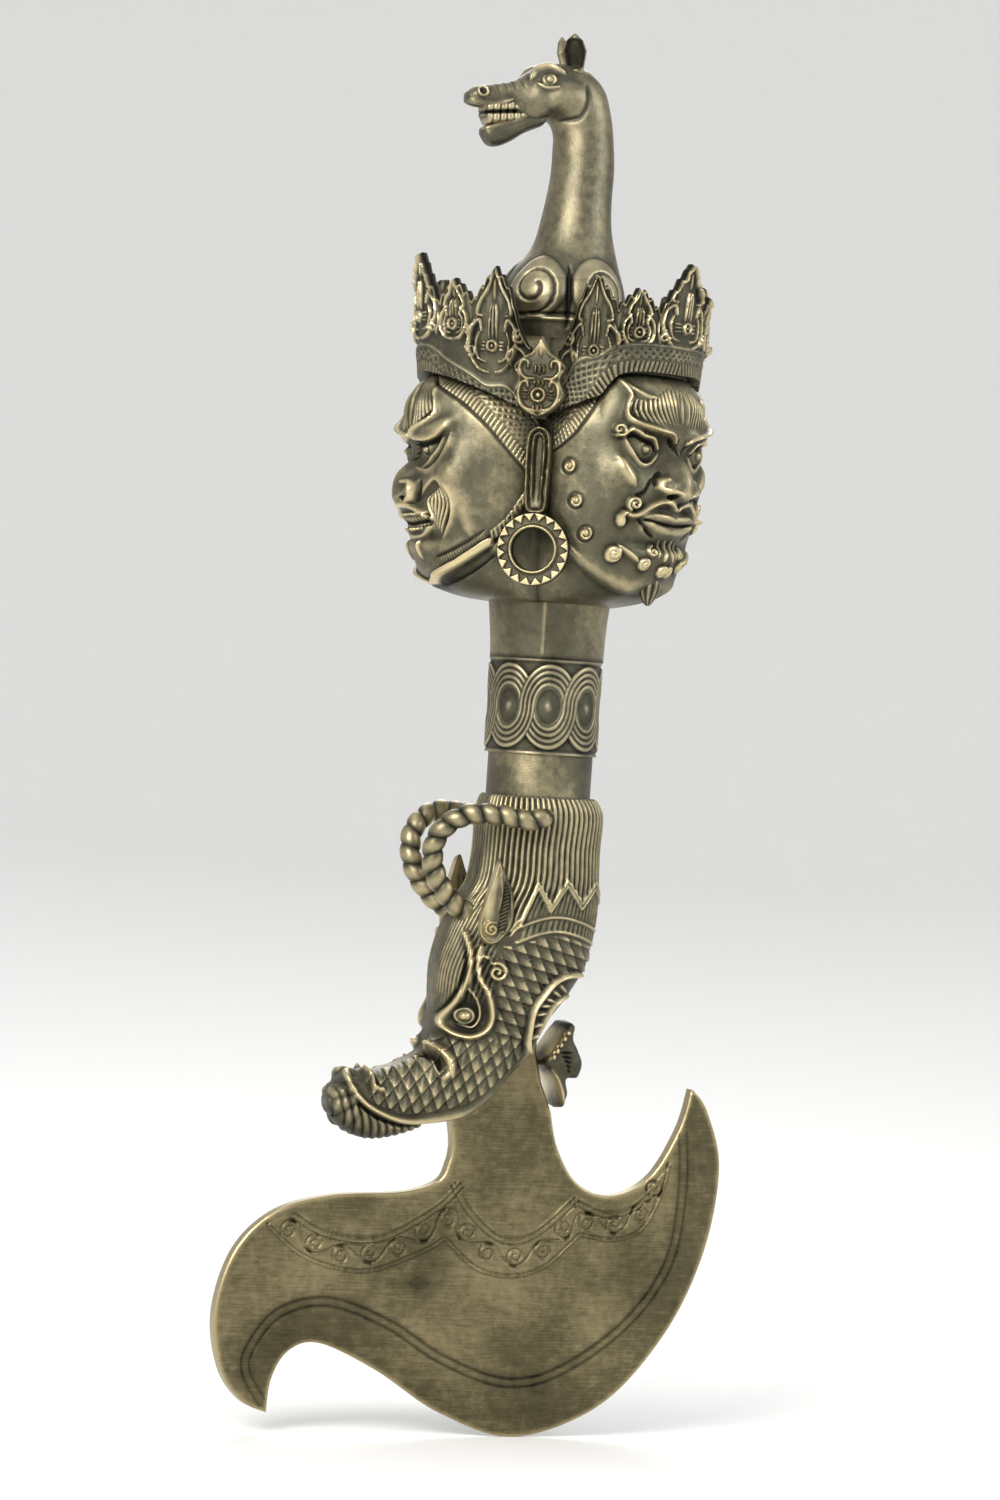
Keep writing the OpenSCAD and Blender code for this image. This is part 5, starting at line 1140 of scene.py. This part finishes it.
def carve_shoulders(p):
    """A volute on each side of the chest and of the back, and a line between them."""
    x, y, z = p[..., 0], p[..., 1], p[..., 2]
    arc = 0.25
    f = Relief(np.degrees(np.arctan2(np.abs(y), x + 1.4)) * arc, z)
    for a in (72, 137):
        f.dome(a * arc, 98, 7.8, 7.6, 1.5, power=0.6)
        f.line(spiral(a * arc, 97.4, 5.8, 1.4, -80, -1, 0.25), 0.36, -0.6, taper=0.1)
    f.line([(104 * arc, 88.5), (104 * arc, 96), (105 * arc, 103)], 0.6, -0.9, smooth=False)
    f.h *= z < 110
    return f.h - 0.5 * bell((z - 91.5) / 0.5) + 0.35 * bell((z - 90.4) / 0.5)


def carve_horse_head(x, z):
    """Eye under a bright brow, soft cheek, nostril and lips."""
    g = Relief(x, z)
    g.line([(-14.2, 147.4), (-12.4, 149.6), (-9.6, 150.6), (-6.4, 149.6)], 0.7, 1.5)
    g.dome(-10.1, 147.5, 2.0, 1.35, 1.2, turn=15)
    g.ring(-10.1, 147.5, 0.9, 0.25, -0.5)
    g.line([(-13, 146.6), (-10.8, 145.6), (-8, 146)], 0.45, 0.8)
    g.dome(-5, 143.2, 5.6, 5, 0.8, power=1.5)
    g.line([(-0.6, 147.2), (-0.4, 143), (-2.2, 139.4), (-6, 138.2)], 0.7, -0.5)
    g.dome(-25.8, 143.5, 1.6, 1.3, 1.0)
    g.dome(-26, 143.5, 0.9, 0.7, -1.5)
    g.line([(-28.6, 141.6), (-24.6, 140.9), (-21, 141.5), (-18.4, 142.4)], 0.5, 0.9)
    for k in range(4):
        g.line([(-22.8 + 2 * k, 146.2 + 0.5 * k), (-21.6 + 2 * k, 143.8 + 0.5 * k)], 0.3, -0.15,
               smooth=False)
    g.h *= (x < 1) & (z > 135)
    return g.h


def make_horse(rows=460, cols=230):
    """Body, lower jaw and the two rows of teeth between them."""
    p, s = ribbed_skin(HORSE_RIBS, rows, cols, 0.95)
    z = p[..., 2]
    h = carve_shoulders(p) + carve_horse_head(p[..., 0], z) * soft((np.abs(s) - 0.25) / 0.3)
    h *= soft(np.arange(rows) / 3.0)[:, None]
    wear_and_shade = tone(h, 0.3, 0.25) + 0.08 * (z > 100)
    skin("horse.body", raise_skin(p, h), np.clip(wear_and_shade, 0, 1), "dark_brass")

    jaw, s = ribbed_skin(JAW_RIBS, 90, 72, 0.9)
    f = Relief(jaw[..., 0], jaw[..., 2])
    f.line([(-24.6, 134.9), (-21.6, 136), (-18, 137.4), (-14, 139)], 0.5, 0.8)
    wear_and_shade = np.clip(0.5 + 0.4 * f.h, 0, 1)
    skin("horse.jaw", raise_skin(jaw, f.h * np.abs(s)), wear_and_shade, "dark_brass")

    rim = np.array([(-24.8, 141), (-24.9, 138.4), (-23.6, 136.2), (-16, 137.4), (-12, 139),
                    (-12, 142.4), (-18, 142.4)])

    def heights(x, z, d):
        from_bite = z - 138.9 - 0.12 * (x + 24)
        tooth = 0.5 * ribs(x, 1.75, 0.5)
        half = 2.2 + 0.9 * soft(d / 0.8) ** 0.5 + tooth - 0.9 * bell(from_bite / 0.35)
        # Painted shade darkens the gaps between the teeth and the bite between the rows; their
        # crowns are lighter.
        return half, -half, np.clip(0.62 + tooth - 0.6 * bell(from_bite / 0.4), 0, 1)
    plate("horse.teeth", rim, 0.2, heights, upright, "dark_brass")


def make_horse_ear(side, sign):
    """Broad oval cup that opens outwards and forwards."""
    v = np.linspace(0, 1, 60)[:, None]
    m = all_round(70)
    wide = np.interp(v, (0, 0.25, 0.6, 0.85, 1), (1.7, 2.2, 2.9, 2.0, 0.3))
    facing = soft(np.cos(m) * 2.2 - 0.35)
    hollow = facing * window(v, 0.16, 0.95, 0.12)
    out = 0.75 * wide * np.cos(m) - 1.7 * hollow * wide / 2.9
    turn, lean = math.radians(130), math.radians(12)
    up, out = turned(10.4 * v + 0 * m, out, lean)
    x, y = turned(out, wide * np.sin(m), turn)
    p = np.stack([x - 2.6, sign * (y + 2.8), up + HEAD_TOP + 63.2], -1)
    # The cup's hollow is darkened as dark patina and painted shade; its rim is rubbed lighter.
    wear_and_shade = 0.62 - 0.42 * hollow + 0.2 * bell((facing - 0.5) / 0.3)
    skin("horse.ear_" + side, p[:, ::sign], wear_and_shade[:, ::sign], "dark_brass")


# Blade: outlines in shares of its width and depth from the middle of the lip
BACK = [(-0.133, 0.004), (-0.138, -0.05), (-0.157, -0.117), (-0.227, -0.159), (-0.367, -0.178),
        (-0.475, -0.238), (-0.55, -0.375), (-0.583, -0.588), (-0.566, -0.777), (-0.522, -0.888),
        (-0.471, -0.928)]
EDGE = [(-0.471, -0.928), (-0.462, -0.812), (-0.428, -0.714), (-0.369, -0.69), (-0.255, -0.779),
        (-0.12, -0.925), (0.033, -1), (0.204, -0.88), (0.327, -0.623), (0.397, -0.33),
        (0.417, -0.035), (0.384, 0.156), (0.347, 0.236)]
INNER = [(0.347, 0.236), (0.326, 0.091), (0.272, -0.079), (0.194, -0.15), (0.122, -0.108),
         (0.078, 0.012), (0.06, 0.136)]
# Neck and tang, in mm
NECK = [(-17, -105), (-17.8, -100.8), (-11.97, -99), (-11.97, -62.6), (3, -62.6), (3, -84.6),
        (4.6, -91.1)]
# Engraved line along the edge, and the upper and lower sides of the band's three scallops
LINE = [(-0.479, -0.9), (-0.515, -0.79), (-0.507, -0.7), (-0.455, -0.585), (-0.362, -0.545),
        (-0.243, -0.615), (-0.129, -0.735), (-0.003, -0.81), (0.106, -0.77), (0.238, -0.6),
        (0.32, -0.38), (0.34, -0.124), (0.333, 0.08)]
BAND_TOP = [
    [(-0.438, -0.235), (-0.375, -0.294), (-0.274, -0.307), (-0.165, -0.202), (-0.118, -0.117)],
    [(-0.118, -0.117), (-0.082, -0.217), (-0.021, -0.298), (0.042, -0.274), (0.117, -0.152)],
    [(0.117, -0.152), (0.177, -0.197), (0.23, -0.182), (0.272, -0.122)]]
BAND_LOW = [
    [(-0.495, -0.29), (-0.413, -0.4), (-0.295, -0.442), (-0.183, -0.371), (-0.139, -0.324)],
    [(-0.139, -0.324), (-0.073, -0.422), (0.002, -0.445), (0.069, -0.407), (0.135, -0.295)],
    [(0.135, -0.295), (0.204, -0.309), (0.263, -0.265), (0.3, -0.134), (0.312, -0.03)]]
SCROLLS = 16
# Nothing is carved above this height, and the tang in the makara starts at the next
CARVED_TOP, TANG_FOOT = -96, -93
# A dark stain on the blade, as x, z and its half lengths
STAIN = (-23.5, -140.5, 4.2, 2.4)


def blade_curve(shares, count):
    return curve(np.array(shares) * (BLADE_W, BLADE_H) + (0, LIP_Z), count)


def left_of(path):
    """Direction to the left of a path at each of its places."""
    along = unit(np.gradient(path, axis=0))
    return np.stack([-along[:, 1], along[:, 0]], 1)


def carve_scrolls(f, middle, per=26):
    """Vine that winds along the band, with a curl in each of its bends."""
    run = run_along(middle)
    way = np.linspace(0, run[-1], per * SCROLLS)
    base = [np.convolve(np.pad(np.interp(way, run, v), 6, mode="edge"), np.ones(13) / 13, "valid")
            for v in middle.T]
    base = np.stack(base, 1)
    across = left_of(base)
    wave = np.sin(np.linspace(0, SCROLLS, len(base)) * math.pi)[:, None]
    f.line((base + 1.9 * across * wave)[8:-8], 0.36, -0.4, taper=0.1)
    for k in range(SCROLLS):
        i, sign = int((k + 0.5) * per), 1 if k % 2 else -1
        x, z = base[i] + 0.5 * across[i] * sign
        heading = math.degrees(math.atan2(across[i, 1], across[i, 0]))
        start = heading - 90 - 90 * sign
        f.line(spiral(x, z, 2.4, 1.4, start, -sign, 0.2), 0.36, -0.4, taper=0.05)


def carve_blade(x, z):
    """A double line along the edge, and a raised band with its own lines and vine."""
    f = Relief(x, z)
    line = blade_curve(LINE, 150)
    for d in (-1.0, 1.0):
        f.line(line + d * left_of(line), 0.42, -0.26, taper=0.3)
    top = np.vstack([blade_curve(part, 40) for part in BAND_TOP])
    low = np.vstack([blade_curve(part, 40) for part in BAND_LOW])
    dist, _, inside = rim_distance(np.stack([x, z], 1), np.vstack([top, low[::-1]]))
    f.h += 0.45 * soft((np.where(inside, dist, -dist) + 0.25) / 0.5)
    for parts, lines in ((BAND_TOP, ((-0.75, 0.3), (-2.0, 0.26))), (BAND_LOW, ((0.75, 0.3),))):
        for part in parts:
            rim = blade_curve(part, 40)
            for d, width in lines:
                f.line(rim + d * left_of(rim), width, -0.35, taper=0)
    carve_scrolls(f, mix(top, low, 0.54))
    return f.h


def blade_half(x, z, d):
    """Half the blade's thickness: full at the back, ground thin towards the edge."""
    from_edge, _, share = near_path(x, z, blade_curve(EDGE, 150))
    ground = soft(share * 7) * soft((1 - share) * 7)
    wide = mix(0.3, BEVEL_W, ground)
    thin = mix(BLADE_T / 2 - 0.3, EDGE_T / 2, ground)
    half = mix(thin, BLADE_T / 2, np.clip(from_edge / wide, 0, 1))
    chamfer = BLADE_T / 2 - 0.3 + 0.3 * np.clip(d / 0.4, 0, 1)
    return np.minimum(half, chamfer + 9 * (from_edge < wide * 0.9))


def blade_wear_and_shade(x, z, d, h):
    """Bright at the rubbed rim, dark in the grooves as patina and painted shade, dark in the stain,
    lighter inside the line.
    """
    groove = np.where(h > 0.2, h - 0.45, h)
    inner, side, _ = near_path(x, z, blade_curve(LINE, 60))
    body = soft(inner * side / 2 - 0.5)
    wear_and_shade = 0.5 + 0.08 * body + 0.95 * np.minimum(groove, 0) + 0.4 * bell(d / 0.7)
    wear_and_shade += 0.08 * np.sin(x * 0.11 + 1) * np.sin(z * 0.13)
    stain_x, stain_z, long, tall = STAIN
    off = np.abs(x - stain_x) / long + np.abs(z - stain_z) / tall
    return np.clip(wear_and_shade - 0.35 * bell(np.maximum(off, 0.6) * 1.2), 0.02, 1)


def make_blade():
    rim = np.vstack([blade_curve(BACK, 90)[::-1], NECK, blade_curve(INNER, 60)[::-1][:-1],
                     blade_curve(EDGE, 150)[::-1][:-1]])

    def heights(x, z, d):
        h = carve_blade(x, z) * soft((d - 0.15) / 0.5) * (z < CARVED_TOP)
        waver = 0.05 * np.sin(x * 0.21 + z * 0.13) + 0.04 * np.sin(x * 0.37 - z * 0.29)
        tang = 0.1 * ((z > TANG_FOOT) | ((x > -17) & (x < 4.8) & (z > -103)))
        front = blade_half(x, z, d) + h
        return front + waver - tang, -front + waver + tang, blade_wear_and_shade(x, z, d, h)

    plate("blade.plate", rim, 0.24, heights, upright, "blade_brass", sharp=35)


# Floor that sweeps up into a backdrop all round, and soft light, in metres and watts
FLOOR_R, WALL_R, WALL_H = 0.9, 2.1, 2.3
# Lamps as name, place, size, power and colour
LIGHTS = [("key", (-0.75, -0.75, 0.55), 0.55, 15, (1.0, 0.97, 0.92)),
          ("fill", (0.9, -0.7, 0.5), 0.6, 6, (0.93, 0.96, 1.0)),
          ("back", (0.3, 0.9, 0.6), 0.6, 5, (1, 1, 1)),
          ("top", (0, 0, 1.9), 2.6, 14, (1, 1, 1))]


def set_floor():
    bend, angle = WALL_R - FLOOR_R, np.linspace(0, math.pi / 2, 24)
    r = np.concatenate([[0.001, FLOOR_R / 2], FLOOR_R + bend * np.sin(angle), [WALL_R]])[:, None]
    up = np.concatenate([[0, 0], bend * (1 - np.cos(angle)), [WALL_H]])[:, None]
    grid = polar(r, all_round(96), cad_box[0][2] + up)
    data = bpy.data.meshes.new("floor")
    data.from_pydata(grid.reshape(-1, 3), [], skin_faces(*grid.shape[:2]).tolist())
    data.shade_smooth()
    pale = bpy.data.materials.new("floor_pale")
    pale.use_nodes = True
    shader = pale.node_tree.nodes["Principled BSDF"]
    shader.inputs["Base Color"].default_value = (0.76, 0.755, 0.745, 1)
    shader.inputs["Roughness"].default_value = 0.9
    data.materials.append(pale)
    floor = add_object("floor", data)


def set_light():
    world = bpy.data.worlds.new("studio")
    bpy.context.scene.world = world
    world.use_nodes = True
    sky = world.node_tree.nodes["Background"]
    sky.inputs["Color"].default_value = (0.92, 0.96, 1.0, 1)
    sky.inputs["Strength"].default_value = 0.5

    for name, place, size, power, color in LIGHTS:
        light = bpy.data.lights.new(name, "AREA")
        light.size, light.energy, light.color = size, power, color
        lamp = add_object(name, light)
        lamp.location = place
        lamp.rotation_euler = (-Vector(place)).to_track_quat("-Z", "Y").to_euler()
    bpy.context.scene.view_settings.view_transform = "Standard"


set_camera()
set_floor()
set_light()
make_blade()
make_makara()
make_jaw()
for side_name, side_sign in (("left", -1), ("right", 1)):
    make_leaf_ear(side_name, side_sign)
    make_horn(side_name, side_sign)
    make_goatee(side_name)
    make_horse_ear(side_name, side_sign)
make_grip()
make_braid()
make_head()
for side_name in FACES:
    make_crown(side_name)
for side_name in SEAMS:
    make_ear(side_name)
    make_earring(side_name)
    make_seam_leaf(side_name)
make_horse()
